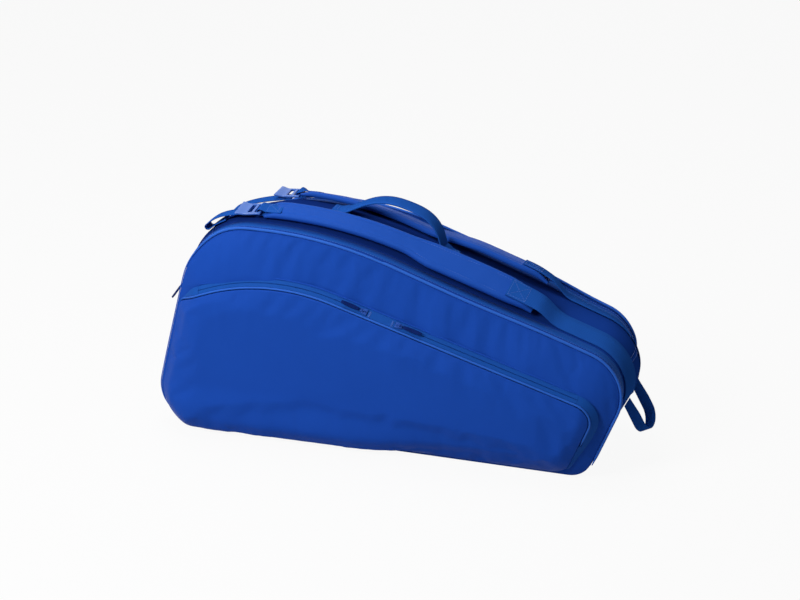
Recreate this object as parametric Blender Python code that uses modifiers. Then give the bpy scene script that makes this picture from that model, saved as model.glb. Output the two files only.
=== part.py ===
"""Racket tournament bag that stands on its base.

Two racket compartments share a centre divider. Each one is closed by a padded side lid, which is sewn to the
base along its lower edge and zipped to the gusset round the ends and the spine. The front lid carries an
arched pocket with two zips. Two shoulder straps, a grab handle and a haul loop are sewn to the gusset.
Metres, +Z up, +X towards the tail end (where racket handles lie), front at -Y.
"""
import math
from collections import namedtuple

import bmesh
import bpy
from mathutils import Matrix, Vector

# Side outline, seen from the front: its corners before they are rounded
SEAM_LIFT = 0.003
HEAD_LOW_X = -0.382
HEAD_TOP_X = -0.299
BODY_TOP_Z = 0.344
SPINE_BEND_X = -0.087
TAIL_TOP_X = 0.382
TAIL_TOP_Z = 0.178
TAIL_LOW_X = 0.314
HEAD_LOW_RADIUS = 0.060
HEAD_TOP_RADIUS = 0.110
SPINE_RADIUS = 0.620
TAIL_TOP_RADIUS = 0.068
TAIL_LOW_RADIUS = 0.035

# Depth, padding and cloth thicknesses
FIT = 0.0003
SEAM_Y = 0.097
RIM_DEPTH = 0.0235
PANEL_WALL = 0.004
GUSSET_WALL = 0.003
RIM_WALL = 0.003
BASE_WALL = 0.004
DIVIDER_WALL = 0.004
CROWN = 0.011
CROWN_REACH = 0.150
BULGE = 0.016
BULGE_REACH = 0.055
PIPING_RADIUS = 0.0022
PIPING_END_Z = 0.025
LID_HINGE_INSET = 0.0015

# Slump of the soft rear side: its upper head corner sinks and its tail end draws in
SLUMP_START_Y = 0.010
SLUMP_DROP = 0.022
SLUMP_FOOT_Z = 0.258
SLUMP_START_X = 0.050
SLUMP_DRAW = 0.011
SLUMP_TAIL_X = 0.180

# Zips: two coil halves with a slit for the slider's keel
ZIP_SLIT = 0.002
COIL_WIDTH = 0.0022
COIL_HEIGHT = 0.0022
TAPE_WIDTH = 0.0048
TAPE_WALL = 0.0009
SLIDER_LENGTH = 0.011
SLIDER_WIDTH = 0.0088
SLIDER_NOSE = 0.0056
SLIDER_PLATE = 0.0015
BAIL_LENGTH = 0.0076
BAIL_HEIGHT = 0.0036
BAIL_WIRE = 0.0012
BAIL_WIDTH = 0.0016
BAIL_SINK = 0.0004
SLIDER_STANDOFF = 0.0005
SLIDER_Z = 0.236
PULL_LENGTH = 0.037
PULL_WIDTH = 0.0078
PULL_WALL = 0.0014
PULL_BAR = 0.0014
EYE_LENGTH = 0.0050
EYE_WIDTH = 0.0028

# Front pocket
POCKET_MARGIN = 0.006
POCKET_TAIL_MARGIN = 0.028
POCKET_HEAD_Z = 0.216
POCKET_MID_Z = 0.2257
POCKET_CLIMB = math.radians(26.6)
POCKET_FALL = math.radians(16.9)
POCKET_HEAD_RADIUS = 0.018
POCKET_ARCH_RADIUS = 0.308
POCKET_TAIL_RADIUS = 0.028
POCKET_LOW_RADIUS = 0.030
POCKET_WALL = 0.002
POCKET_RISE = 0.0135
POCKET_SWELL = 0.0175
POCKET_REACH = 0.040
POCKET_FADE_HEAD = 0.030
POCKET_FADE_BASE = 0.080
POCKET_PIPING_RADIUS = 0.0017
POCKET_TAIL_RUN = 0.032
POCKET_TAPE_WIDTH = 0.0030
SHELF_ANGLE = math.radians(45)
SHELF_WALL = 0.0012
POCKET_ZIP_HEAD_X = -0.284
BRIDGE_HEAD_X = -0.019
BRIDGE_TAIL_X = 0.023

# Shoulder straps: setbacks are measured along X from the outline's top corners
STRAP_Y = 0.045
STRAP_WIDTH = 0.048
STRAP_WALL = 0.009
STRAP_EDGE = 0.0025
STRAP_BOW = 0.004
STRAP_PROBE = 0.001
FRONT_STRAP_SETBACK = 0.099
REAR_STRAP_SETBACK = 0.127
STRAP_TAIL_SETBACK = 0.167
STRAP_HINGE_SETBACK = 0.120
STRAP_TAPER = 0.050
STRAP_TIP_MARGIN = 0.002
STRAP_WEBBING = 0.036
STRAP_BOX_RUN = 0.043
STRAP_END_Z = 0.122
WEBBING_WALL = 0.0016
WEBBING_LEAVES = 0.003
WEBBING_LANDS = 0.007

# Adjusters: looped tab, ladder lock and the webbing tail that the lock lies on
ADJUSTER_WEBBING = 0.025
TAB_GRIP = 0.027
TAB_BEND = 0.0030
TAB_REACH = 0.0068
LOCK_LENGTH = 0.040
LOCK_WIDTH = 0.035
LOCK_WALL = 0.0034
LOCK_EDGE = 0.0007
LOCK_BAR = 0.0040
LOCK_SLOT = 0.0070
LOCK_RAIL = 0.0045
LOCK_LIP_RUN = 0.014
LOCK_LIP_RISE = 0.0032
LOCK_LIP_FLARE = 0.0025
LOCK_LIP_WALL = 0.0022
LOCK_CLEAR = 0.0010
TAIL_WEB_START = 0.018
TAIL_FOLD_SETBACK = 0.007
TAIL_WEB_LIFT = 0.0078
TAIL_WEB_SEWN = 0.016

# Grab handle and haul loop
HANDLE_HEAD_X = -0.088
HANDLE_TAIL_X = 0.060
HANDLE_WIDTH = 0.032
HANDLE_WALL = 0.0026
HANDLE_LIFT = 0.011
HANDLE_RISE = 0.037
HANDLE_RAMP = 0.020
HANDLE_SEWN = 0.026
HANDLE_BLUNTNESS = 2.5
HANDLE_SHOULDER = 1.25
LOOP_Z = 0.092
LOOP_WEBBING = 0.024
LOOP_WALL = 0.0018
LOOP_Y = 0.021
LOOP_SKEW = 0.014
LOOP_LEG = 0.048
LOOP_TWIST = 0.029
LOOP_HANG = math.radians(62)

# Mesh fineness
ARC_STEPS = 6
LONG_STEP = 0.045
STRAP_STEP = 0.030
WEBBING_STEP = 0.009
MIN_RADIUS = 0.004
GUSSET_ROWS = 11
PANEL_RINGS = (0.0, 0.2, 0.5, 1.0)
POCKET_RINGS = (0.0, 0.18, 0.5, 1.0)
LEG_RINGS = (0.0, 0.2, 0.45, 0.75)
FOLD_STEPS = 9
HANDLE_STEPS = 19
RAMP_STEPS = 8
RUN_STEPS = 10
SHARP_ANGLE = math.radians(35)

ZIP_Y = SEAM_Y - RIM_DEPTH
ZIP_HALF = ZIP_SLIT / 2 + COIL_WIDTH + TAPE_WIDTH
GUSSET_HALF = ZIP_Y - ZIP_HALF - FIT
SIDES = {"front": -1, "rear": 1}
STRAP_HEAD_X = {"front": HEAD_TOP_X + FRONT_STRAP_SETBACK, "rear": HEAD_TOP_X + REAR_STRAP_SETBACK}
STRAP_TAIL_X = TAIL_TOP_X - STRAP_TAIL_SETBACK
STRAP_HINGE_X = TAIL_TOP_X - STRAP_HINGE_SETBACK
STRAP_BOX_X = STRAP_TAIL_X - STRAP_BOX_RUN
Y_AXIS = Vector((0, 1, 0))

Station = namedtuple("Station", "point normal")


def smooth(t):
    """Eases from 0 to 1."""
    t = min(max(t, 0.0), 1.0)
    return t * t * (3 - 2 * t)


def spread(low, high, count):
    """Evenly spaced values from low to high."""
    return [low + (high - low) * i / (count - 1) for i in range(count)]


def outward(direction):
    """The outer side of an edge; outlines run up the head end and along the spine."""
    return Vector((-direction.y, direction.x))


def meet(point, direction, other, heading):
    """Where two lines cross."""
    side = outward(heading)
    return point + direction * ((other - point).dot(side) / direction.dot(side))


def rounded(corners, inset=0.0):
    """Stations round an outline, one group for each corner, moved in by inset."""
    groups = []
    for i, (corner, radius) in enumerate(corners):
        arriving = (corner - corners[i - 1][0]).normalized()
        leaving = (corners[(i + 1) % len(corners)][0] - corner).normalized()
        first, last = outward(arriving), outward(leaving)
        bisector = (first + last) / (1 + first.dot(last))
        radius = max(radius - inset, MIN_RADIUS)
        centre = corner - bisector * (inset + radius)
        turn = arriving.angle(leaving)
        normals = [Matrix.Rotation(-turn * k / ARC_STEPS, 2) @ first for k in range(ARC_STEPS + 1)]
        groups.append([Station(centre + n * radius, n) for n in normals])
    return groups


class Path:
    """An open run of stations, measured along its length."""

    def __init__(self, stations, step=LONG_STEP):
        self.stations = stations[:1]
        for a, b in zip(stations, stations[1:]):
            count = max(1, math.ceil((b.point - a.point).length / step))
            for k in range(1, count + 1):
                self.stations.append(blend(a, b, k / count))
        self.lengths = [0.0]
        for a, b in zip(self.stations, self.stations[1:]):
            self.lengths.append(self.lengths[-1] + (b.point - a.point).length)

    def at(self, length):
        """The station this far along; past the last one it carries on straight."""
        i = 1
        while i < len(self.lengths) - 1 and self.lengths[i] < length:
            i += 1
        share = (length - self.lengths[i - 1]) / (self.lengths[i] - self.lengths[i - 1])
        return blend(self.stations[i - 1], self.stations[i], share)

    def between(self, start, stop, step=1.0):
        """The stations from start to stop, with none further apart than step."""
        inner = [s for s, d in zip(self.stations, self.lengths) if start + 1e-5 < d < stop - 1e-5]
        return Path([self.at(start)] + inner + [self.at(stop)], step).stations

    def crossing(self, axis, value, last=False):
        """The length at which x (axis 0) or z (axis 1) passes value."""
        spans = range(1, len(self.stations))
        for i in reversed(spans) if last else spans:
            a, b = self.stations[i - 1].point[axis], self.stations[i].point[axis]
            if a != b and min(a, b) <= value <= max(a, b):
                share = (value - a) / (b - a)
                return self.lengths[i - 1] + share * (self.lengths[i] - self.lengths[i - 1])
        raise ValueError(f"the path doesn't reach {value}")

    def length_of(self, station):
        """How far along a station of the outline lies."""
        gaps = [(s.point - station.point).length for s in self.stations]
        return self.lengths[gaps.index(min(gaps))]


def blend(a, b, share):
    """A station part of the way from a to b."""
    return Station(a.point.lerp(b.point, share), a.normal.lerp(b.normal, share).normalized())


CORNERS = [
    (Vector((HEAD_LOW_X, SEAM_LIFT)), HEAD_LOW_RADIUS),
    (Vector((HEAD_TOP_X, BODY_TOP_Z)), HEAD_TOP_RADIUS),
    (Vector((SPINE_BEND_X, BODY_TOP_Z)), SPINE_RADIUS),
    (Vector((TAIL_TOP_X, TAIL_TOP_Z)), TAIL_TOP_RADIUS),
    (Vector((TAIL_LOW_X, SEAM_LIFT)), TAIL_LOW_RADIUS),
]
GROUPS = rounded(CORNERS)
BODY = Path([station for group in GROUPS for station in group])
BODY_END = BODY.lengths[-1]


def crown(y, z):
    """How far the gusset rises out of its edges' plane at this place."""
    return CROWN * smooth((z - SEAM_LIFT) / CROWN_REACH) * (1 - (y / GUSSET_HALF) ** 2)


def slump(x, y, z):
    """A point of the bag after its rear half has settled; the front half stays as it is."""
    share = min(max((y - SLUMP_START_Y) / (SEAM_Y - SLUMP_START_Y), 0.0), 1.0)
    sunk = smooth((SLUMP_START_X - x) / (SLUMP_START_X - HEAD_TOP_X))
    drop = SLUMP_DROP * sunk * smooth((z - SLUMP_FOOT_Z) / (BODY_TOP_Z - SLUMP_FOOT_Z))
    draw = SLUMP_DRAW * smooth((x - SLUMP_TAIL_X) / (TAIL_TOP_X - SLUMP_TAIL_X)) * smooth(z / TAIL_TOP_Z)
    return Vector((x - share * draw, y, z - share * drop))


def on_skin(station, y, lift):
    """A point over the side outline."""
    flat = station.point + station.normal * lift
    return slump(flat.x, y, flat.y)


def material(name, red, green, blue, roughness, metallic=0.0):
    """A plain Principled finish from screen colours."""
    made = bpy.data.materials.new(name)
    made.use_nodes = True
    shader = made.node_tree.nodes["Principled BSDF"]
    linear = [((c / 255 + 0.055) / 1.055) ** 2.4 for c in (red, green, blue)]
    shader.inputs["Base Color"].default_value = (*linear, 1.0)
    shader.inputs["Roughness"].default_value = roughness
    shader.inputs["Metallic"].default_value = metallic
    return made


def collect(name, group, data, finish):
    """Links new object data into a collection with its finish."""
    made = bpy.data.objects.new(name, data)
    group.objects.link(made)
    if finish is not None:
        data.materials.append(finish)
    return made


def to_mesh(name, bm):
    """Turns a finished bmesh into mesh data, smooth but for its creases."""
    data = bpy.data.meshes.new(name)
    bm.to_mesh(data)
    bm.free()
    data.shade_smooth()
    data.set_sharp_from_angle(angle=SHARP_ANGLE)
    return data


def guide(name, rings):
    """A closed solid for a Boolean modifier, kept out of the finished object."""
    made = collect(name, cutters, to_mesh(name, extrude_through(rings)), None)
    made.hide_render = True
    made.display_type = "WIRE"
    return made


def combine(made, operation, tool):
    """Joins a guide to a piece, or cuts it away."""
    change = made.modifiers.new(tool.name, "BOOLEAN")
    change.operation = operation
    change.solver = "EXACT"
    change.object = tool


def carry(carrier, names):
    """Parents objects to a joint's empty, where they stand."""
    bpy.context.view_layer.update()
    for name in names:
        carried = bpy.data.objects[name]
        carried.parent = bpy.data.objects[carrier]
        carried.matrix_parent_inverse = carried.parent.matrix_world.inverted()


def hang(joint, point, axis, names, carrier=None):
    """An empty on a joint's axis, with its Z along it, that carries the pieces moving about it."""
    pivot = bpy.data.objects.new(joint, None)
    parts.objects.link(pivot)
    pivot.matrix_world = Matrix.Translation(point) @ axis.to_track_quat("Z", "Y").to_matrix().to_4x4()
    carry(joint, names)
    if carrier is not None:
        carry(carrier, [joint])


def thicken(made, wall):
    """Gives an open surface its cloth thickness, on its inner side."""
    solid = made.modifiers.new("cloth", "SOLIDIFY")
    solid.thickness = wall
    solid.offset = -1.0
    solid.use_even_offset = True


def extrude_through(rings, open_start=False):
    """A bmesh that grows from the first ring's face through all the others."""
    bm = bmesh.new()
    start = face = bm.faces.new([bm.verts.new(p) for p in rings[0]])
    for ring in rings[1:]:
        grown = bmesh.ops.extrude_face_region(bm, geom=[face])["geom"]
        if face is not start or open_start:
            bm.faces.remove(face)
        face = next(g for g in grown if isinstance(g, bmesh.types.BMFace))
        for vert, p in zip(face.verts, ring):
            vert.co = p
    if not open_start:
        bmesh.ops.recalc_face_normals(bm, faces=bm.faces)
    return bm


def sweep(name, finish, rings):
    """A solid through a run of section rings."""
    return collect(name, parts, to_mesh(name, extrude_through(rings)), finish)


def band(name, finish, stations, rows, lift, wall):
    """A strip of cloth over the outline, from row to row across the bag, thickened inwards."""
    rings = []
    for s in stations:
        over = [on_skin(s, y, lift(y, s.point.y)) for y in rows]
        under = [on_skin(s, y, lift(y, s.point.y) - wall) for y in reversed(rows)]
        rings.append(over + under)
    return sweep(name, finish, rings)


def dome(name, finish, rings, wall, side):
    """A padded panel: rings from its seam to its middle, thickened towards the bag."""
    bm = extrude_through(rings, open_start=True)
    middle = max(bm.faces, key=lambda f: f.calc_area())
    bm.normal_update()
    if middle.normal.y * side < 0:
        bmesh.ops.reverse_faces(bm, faces=bm.faces)
    made = collect(name, parts, to_mesh(name, bm), finish)
    thicken(made, wall)
    return made


def tube(name, finish, points, radius):
    """A round cord along points."""
    curve = bpy.data.curves.new(name, "CURVE")
    curve.dimensions = "3D"
    curve.bevel_depth = radius
    curve.bevel_resolution = 1
    curve.use_fill_caps = True
    line = curve.splines.new("POLY")
    line.points.add(len(points) - 1)
    for spot, p in zip(line.points, points):
        spot.co = (*p, 1.0)
    return collect(name, parts, curve, finish)


def plate(name, finish, outlines, wall):
    """A flat piece cut to outlines, the first outside and the rest holes, lying in its own XY plane."""
    curve = bpy.data.curves.new(name, "CURVE")
    curve.dimensions = "2D"
    curve.fill_mode = "BOTH"
    curve.extrude = wall / 2
    for outline in outlines:
        line = curve.splines.new("POLY")
        line.points.add(len(outline) - 1)
        for spot, (x, y) in zip(line.points, outline):
            spot.co = (x, y, 0.0, 1.0)
        line.use_cyclic_u = True
    return collect(name, parts, curve, finish)


def strip_rings(centres, ups, width_way, width, wall):
    """Section rings of a flat webbing that follows centres."""
    half = width_way * (width / 2)
    return [[c - half - u * (wall / 2), c + half - u * (wall / 2),
             c + half + u * (wall / 2), c - half + u * (wall / 2)] for c, u in zip(centres, ups)]


def box_outline(x0, x1, half, radius):
    """A rectangle with rounded corners, from x0 to x1 and half to each side."""
    corners = [(x1 - radius, half - radius, 0), (x0 + radius, half - radius, 90),
               (x0 + radius, radius - half, 180), (x1 - radius, radius - half, 270)]
    turns = [(x, y, math.radians(start + step)) for x, y, start in corners for step in (0, 45, 90)]
    return [(x + radius * math.cos(a), y + radius * math.sin(a)) for x, y, a in turns]


def build_carcass():
    """Base, gusset round the ends and spine, and the divider between the compartments."""
    head = BODY.length_of(GROUPS[1][ARC_STEPS // 2])
    tail = BODY.length_of(GROUPS[3][ARC_STEPS // 2])
    rows = spread(-GUSSET_HALF, GUSSET_HALF, GUSSET_ROWS)
    for name, start, stop in (("head_end_gusset", 0, head), ("spine_gusset", head, tail),
                              ("tail_end_gusset", tail, BODY_END)):
        stations = BODY.between(start + FIT / 2, stop - FIT / 2)
        band(name, gusset_cloth, stations, rows, crown, GUSSET_WALL)

    bm = bmesh.new()
    low, high = BODY.stations[0].point.x + FIT, BODY.stations[-1].point.x - FIT
    depth = 2 * (SEAM_Y - PANEL_WALL - FIT)
    size = Matrix.Diagonal((high - low, depth, BASE_WALL, 1.0))
    bmesh.ops.create_cube(bm, size=1.0, matrix=Matrix.Translation(((low + high) / 2, 0, BASE_WALL / 2)) @ size)
    collect("base_panel", parts, to_mesh("base_panel", bm), base_cloth)

    edge = [on_skin(s, 0, crown(0, s.point.y) - GUSSET_WALL - FIT) for s in BODY.stations]
    divider = plate("centre_divider", lining_cloth, [[(p.x, p.z) for p in edge]], DIVIDER_WALL)
    divider.rotation_euler.x = math.pi / 2


def zip_section(tape=TAPE_WIDTH):
    """One half of a zip, as distances from its middle line and over its tape."""
    inner, coil = ZIP_SLIT / 2, ZIP_SLIT / 2 + COIL_WIDTH
    tall, thin = COIL_HEIGHT / 2, TAPE_WALL / 2
    return [(inner, -tall), (coil, -tall), (coil, -thin), (coil + tape, -thin),
            (coil + tape, thin), (coil, thin), (coil, tall), (inner, tall)]


def bulge(inset):
    """How far a padded panel stands out of its seam plane, this far in from its edge."""
    return BULGE * math.sin(min(max(inset, 0.0) / BULGE_REACH, 1.0) * math.pi / 2)


def build_lid(name, side):
    """A padded side with its rim, its piping and both halves of its zip."""
    rings = []
    for share in PANEL_RINGS:
        inset = share * BULGE_REACH
        y = side * (SEAM_Y + bulge(inset))
        rings.append([on_skin(s, y, 0) for group in rounded(CORNERS, inset) for s in group])
    dome(f"{name}_panel", panel_cloth, rings, PANEL_WALL, side)

    edges = sorted((side * (ZIP_Y + ZIP_HALF + FIT), side * (SEAM_Y - PANEL_WALL - FIT)))
    band(f"{name}_rim_gusset", gusset_cloth, BODY.between(FIT / 2, BODY_END - FIT / 2), edges,
         lambda y, z: 0.0, RIM_WALL)

    start, stop = BODY.crossing(1, PIPING_END_Z), BODY.crossing(1, PIPING_END_Z, last=True)
    cord = [on_skin(s, side * (SEAM_Y - PIPING_RADIUS / 2), PIPING_RADIUS + FIT)
            for s in BODY.between(start, stop)]
    tube(f"{name}_piping", piping_cloth, cord, PIPING_RADIUS)

    for half, way in (("body", -1), ("lid", 1)):
        rings = [[on_skin(s, side * (ZIP_Y + way * t), v) for t, v in zip_section()]
                 for s in BODY.between(FIT / 2, BODY_END - FIT / 2)]
        sweep(f"{name}_zip_{half}_half", zip_cloth, rings)

    seam = Vector((0, side * (SEAM_Y - LID_HINGE_INSET), BASE_WALL))
    hang(f"{name}_lid_open", seam, Vector((-side, 0, 0)),
         [f"{name}_{piece}" for piece in ("panel", "rim_gusset", "piping", "zip_lid_half")])


def lid_inset(point):
    """How far a point of the front panel lies in from the panel's rounded edge."""
    depths = []
    for i, (corner, radius) in enumerate(CORNERS):
        arriving = (corner - CORNERS[i - 1][0]).normalized()
        leaving = (CORNERS[(i + 1) % len(CORNERS)][0] - corner).normalized()
        first, last = outward(arriving), outward(leaving)
        centre = corner - (first + last) / (1 + first.dot(last)) * radius
        if (point - centre).dot(arriving) > 0 and (point - centre).dot(leaving) < 0:
            depths.append(radius - (point - centre).length)
        depths.append((corner - point).dot(first))
    return min(depths)


def pocket_corners():
    """The pocket's outline: three edges follow the panel and the top is an arch."""
    low = CORNERS[0][0] + Vector((0, POCKET_MARGIN))
    along = Vector((1, 0))
    head_way = (CORNERS[1][0] - CORNERS[0][0]).normalized()
    head = CORNERS[0][0] - outward(head_way) * POCKET_MARGIN
    tail_way = (CORNERS[4][0] - CORNERS[3][0]).normalized()
    tail = CORNERS[3][0] - outward(tail_way) * POCKET_TAIL_MARGIN
    climb = Vector((math.cos(POCKET_CLIMB), math.sin(POCKET_CLIMB)))
    fall = Vector((math.cos(POCKET_FALL), -math.sin(POCKET_FALL)))
    shoulder = meet(head, head_way, Vector((0, POCKET_HEAD_Z)), along)
    middle = Vector((0, POCKET_MID_Z))
    return [
        (meet(head, head_way, low, along), HEAD_LOW_RADIUS - POCKET_MARGIN),
        (shoulder, POCKET_HEAD_RADIUS),
        (meet(shoulder, climb, middle, fall), POCKET_ARCH_RADIUS),
        (meet(middle, fall, tail, tail_way), POCKET_TAIL_RADIUS),
        (meet(tail, tail_way, low, along), POCKET_LOW_RADIUS),
    ]


POCKET = pocket_corners()
POCKET_GROUPS = rounded(POCKET)
POCKET_HEM = POCKET_WALL + 4 * FIT


def hem_height(point):
    """How far the pocket's edge stands off the panel: low where it is sewn, high along the zip."""
    head_way = (POCKET[1][0] - POCKET[0][0]).normalized()
    from_head = (POCKET[0][0] - point).dot(outward(head_way))
    from_base = point.y - POCKET[0][0].y
    share = smooth(from_head / POCKET_FADE_HEAD) * smooth(from_base / POCKET_FADE_BASE)
    return POCKET_HEM + (POCKET_RISE - POCKET_HEM) * share


def edge_y(station):
    """Depth of the pocket's edge at a station of its outline."""
    height = hem_height(station.point)
    foot = station.point + station.normal * (height / math.tan(SHELF_ANGLE))
    return -(SEAM_Y + max(bulge(lid_inset(station.point)), bulge(lid_inset(foot))) + height)


def on_shelf(station, along, lift):
    """A point of the sloping zip shelf, measured from the pocket's edge towards the panel."""
    c, s = math.cos(SHELF_ANGLE), math.sin(SHELF_ANGLE)
    flat = station.point + station.normal * (along * c + lift * s)
    return Vector((flat.x, edge_y(station) + along * s - lift * c, flat.y))


def shelf_end(station, wall):
    """How far the shelf runs before it meets the panel."""
    spare = hem_height(station.point) - FIT - wall / 2 * math.cos(SHELF_ANGLE)
    return spare / math.sin(SHELF_ANGLE)


def build_pocket():
    """The pocket panel with its piping, both zips, the bridge between them and the tail gusset."""
    rings = []
    for share in POCKET_RINGS:
        ring = []
        for group in rounded(POCKET, share * POCKET_REACH):
            for s in group:
                swell = hem_height(s.point) * (1 - share) + POCKET_SWELL * math.sin(share * math.pi / 2)
                height = min(max(swell, hem_height(s.point)), max(POCKET_SWELL, POCKET_RISE))
                y = -(SEAM_Y + bulge(lid_inset(s.point)) + height) if share else edge_y(s)
                ring.append(on_skin(s, y, 0))
        rings.append(ring)
    dome("pocket_panel", panel_cloth, rings, POCKET_WALL, -1)

    top = Path(POCKET_GROUPS[1][-1:] + POCKET_GROUPS[2] + POCKET_GROUPS[3] + POCKET_GROUPS[4][:3])
    cord_at = (POCKET_PIPING_RADIUS + FIT) / math.cos(SHELF_ANGLE)
    tape_at = cord_at + POCKET_PIPING_RADIUS + FIT
    start = top.crossing(0, POCKET_ZIP_HEAD_X)
    corner = top.length_of(POCKET_GROUPS[3][0])
    end = top.length_of(POCKET_GROUPS[3][-1]) + POCKET_TAIL_RUN
    cord =[on_shelf(s, cord_at, 0) for s in top.between(start, end)]
    tube("pocket_piping", piping_cloth, cord, POCKET_PIPING_RADIUS)

    middle = tape_at + POCKET_TAPE_WIDTH + COIL_WIDTH + ZIP_SLIT / 2
    runs = {"left": (start, top.crossing(0, BRIDGE_HEAD_X) - FIT),
            "right": (top.crossing(0, BRIDGE_TAIL_X) + FIT, corner - FIT)}
    for name, (a, b) in runs.items():
        stations = top.between(a, b)
        lower = [[on_shelf(s, middle - t, v) for t, v in zip_section(POCKET_TAPE_WIDTH)] for s in stations]
        sweep(f"pocket_zip_{name}_lower", zip_cloth, lower)
        upper = [[on_shelf(s, middle + t, v) for t, v in
                  zip_section(shelf_end(s, TAPE_WALL) - middle - ZIP_SLIT / 2 - COIL_WIDTH)] for s in stations]
        sweep(f"pocket_zip_{name}_upper", zip_cloth, upper)

    for name, a, b in (("pocket_zip_bridge", runs["left"][1] + FIT, runs["right"][0] - FIT),
                       ("pocket_tail_gusset", corner, end)):
        rings = [[on_shelf(s, t, v) for t, v in
                  ((tape_at, -SHELF_WALL / 2), (shelf_end(s, SHELF_WALL), -SHELF_WALL / 2),
                   (shelf_end(s, SHELF_WALL), SHELF_WALL / 2), (tape_at, SHELF_WALL / 2))]
                 for s in top.between(a, b)]
        sweep(name, gusset_cloth, rings)

    hem = POCKET_GROUPS[0][0]
    hinge = on_skin(hem, edge_y(hem) + POCKET_WALL - FIT, 0)
    hang("pocket_open", Vector((0, hinge.y, hinge.z)), Vector((1, 0, 0)),
         ["pocket_panel", "pocket_piping", "pocket_zip_bridge", "pocket_tail_gusset",
          "pocket_zip_left_lower", "pocket_zip_right_lower"], "front_lid_open")
    carry("front_lid_open", ["pocket_zip_left_upper", "pocket_zip_right_upper"])

    park = SLIDER_LENGTH / 2 + SLIDER_STANDOFF
    for name, way, length in (("left", -1, runs["left"][1] - park), ("right", 1, runs["right"][0] + park)):
        station = top.at(length)
        ahead = top.at(length + way * SLIDER_LENGTH)
        origin = on_shelf(station, middle, 0)
        travel = (on_shelf(ahead, middle, 0) - origin).normalized()
        up = on_shelf(station, middle, 1.0) - origin
        back = (SLIDER_WIDTH / 2, ZIP_SLIT / 2 - FIT)[::-way]
        build_slider(f"pocket_{name}", origin, travel, up, back, "pocket_open")


def build_slider(name, origin, travel, up, back, carrier=None):
    """A zip slider facing travel, and the pull that hangs from its bail."""
    frame = Matrix((travel, up.cross(travel), up)).transposed().to_4x4()
    frame.translation = origin
    near, far = COIL_HEIGHT / 2 + FIT, COIL_HEIGHT / 2 + FIT + SLIDER_PLATE
    keel = ZIP_SLIT / 2 - FIT
    rings = []
    for share, width in ((-0.5, SLIDER_WIDTH), (-0.1, SLIDER_WIDTH), (0.5, SLIDER_NOSE)):
        half = width / 2
        right, left = min(back[0], half), min(back[1], half)
        section = [(-half, near), (-keel, near), (-keel, -near), (-left, -near), (-left, -far), (right, -far),
                   (right, -near), (keel, -near), (keel, near), (half, near), (half, far), (-half, far)]
        if right <= keel:
            section[5:8] = [(keel, -far)]
        if left <= keel:
            section[2:5] = [(-keel, -far)]
        rings.append([Vector((share * SLIDER_LENGTH, y, z)) for y, z in section])
    slider = sweep(f"{name}_slider", slider_metal, rings)
    slider.matrix_world = frame

    arch = []
    foot = far - BAIL_SINK
    for angle in spread(0, math.pi, FOLD_STEPS):
        way = Vector((-math.cos(angle), 0, math.sin(angle)))
        inner = Vector((way.x * (BAIL_LENGTH / 2 - BAIL_WIRE), 0, foot + way.z * (BAIL_HEIGHT - BAIL_WIRE)))
        outer = Vector((way.x * BAIL_LENGTH / 2, 0, foot + way.z * BAIL_HEIGHT))
        side = Vector((0, BAIL_WIDTH / 2, 0))
        arch.append([inner - side, inner + side, outer + side, outer - side])
    bail = guide(f"{name}_bail", arch)
    bail.matrix_world = frame
    combine(slider, "UNION", bail)

    middle = far + (BAIL_HEIGHT - BAIL_WIRE - BAIL_SINK) / 2
    outer = box_outline(-PULL_BAR / 2, PULL_LENGTH, PULL_WIDTH / 2, PULL_BAR)
    eye = box_outline(PULL_BAR / 2, PULL_BAR / 2 + EYE_LENGTH, EYE_WIDTH / 2, EYE_WIDTH / 4)
    pull = plate(f"{name}_pull", pull_rubber, [outer, eye], PULL_WALL)
    pull.matrix_world = frame @ Matrix.Translation((0, 0, middle))
    hang(f"{name}_zip_run", origin, travel, [slider.name, bail.name], carrier)
    hang(f"{name}_pull_flip", origin + up * middle, up.cross(travel), [pull.name], f"{name}_zip_run")


def strap_frame(station):
    """Slope of the crown under a strap, and the height at which the strap clears crown and zip."""
    z = station.point.y
    slope = 2 * crown(0, z) * STRAP_Y / GUSSET_HALF ** 2
    tilt = math.atan(slope)
    dip = (STRAP_WIDTH / 2 - STRAP_EDGE) * math.sin(tilt)
    clear = COIL_HEIGHT / 2 + FIT + dip
    run = (station.point.x - HEAD_TOP_X) / (STRAP_HINGE_X - HEAD_TOP_X)
    bow = STRAP_BOW * math.sin(math.pi * min(max(run, 0.0), 1.0))
    return tilt, max(crown(STRAP_Y, z) + FIT, clear) + bow


def on_strap(station, side, across, height):
    """A point of a strap: across towards its own zip, height over its underside."""
    tilt, seat = strap_frame(station)
    y = STRAP_Y + across * math.cos(tilt) + height * math.sin(tilt)
    return on_skin(station, side * y, seat - across * math.sin(tilt) + height * math.cos(tilt))


def strap_ring(station, side, width, low, high):
    """Section of a flat webbing that lies along a strap."""
    return [on_strap(station, side, a, h) for a, h in
            ((-width / 2, low), (width / 2, low), (width / 2, high), (-width / 2, high))]


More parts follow.
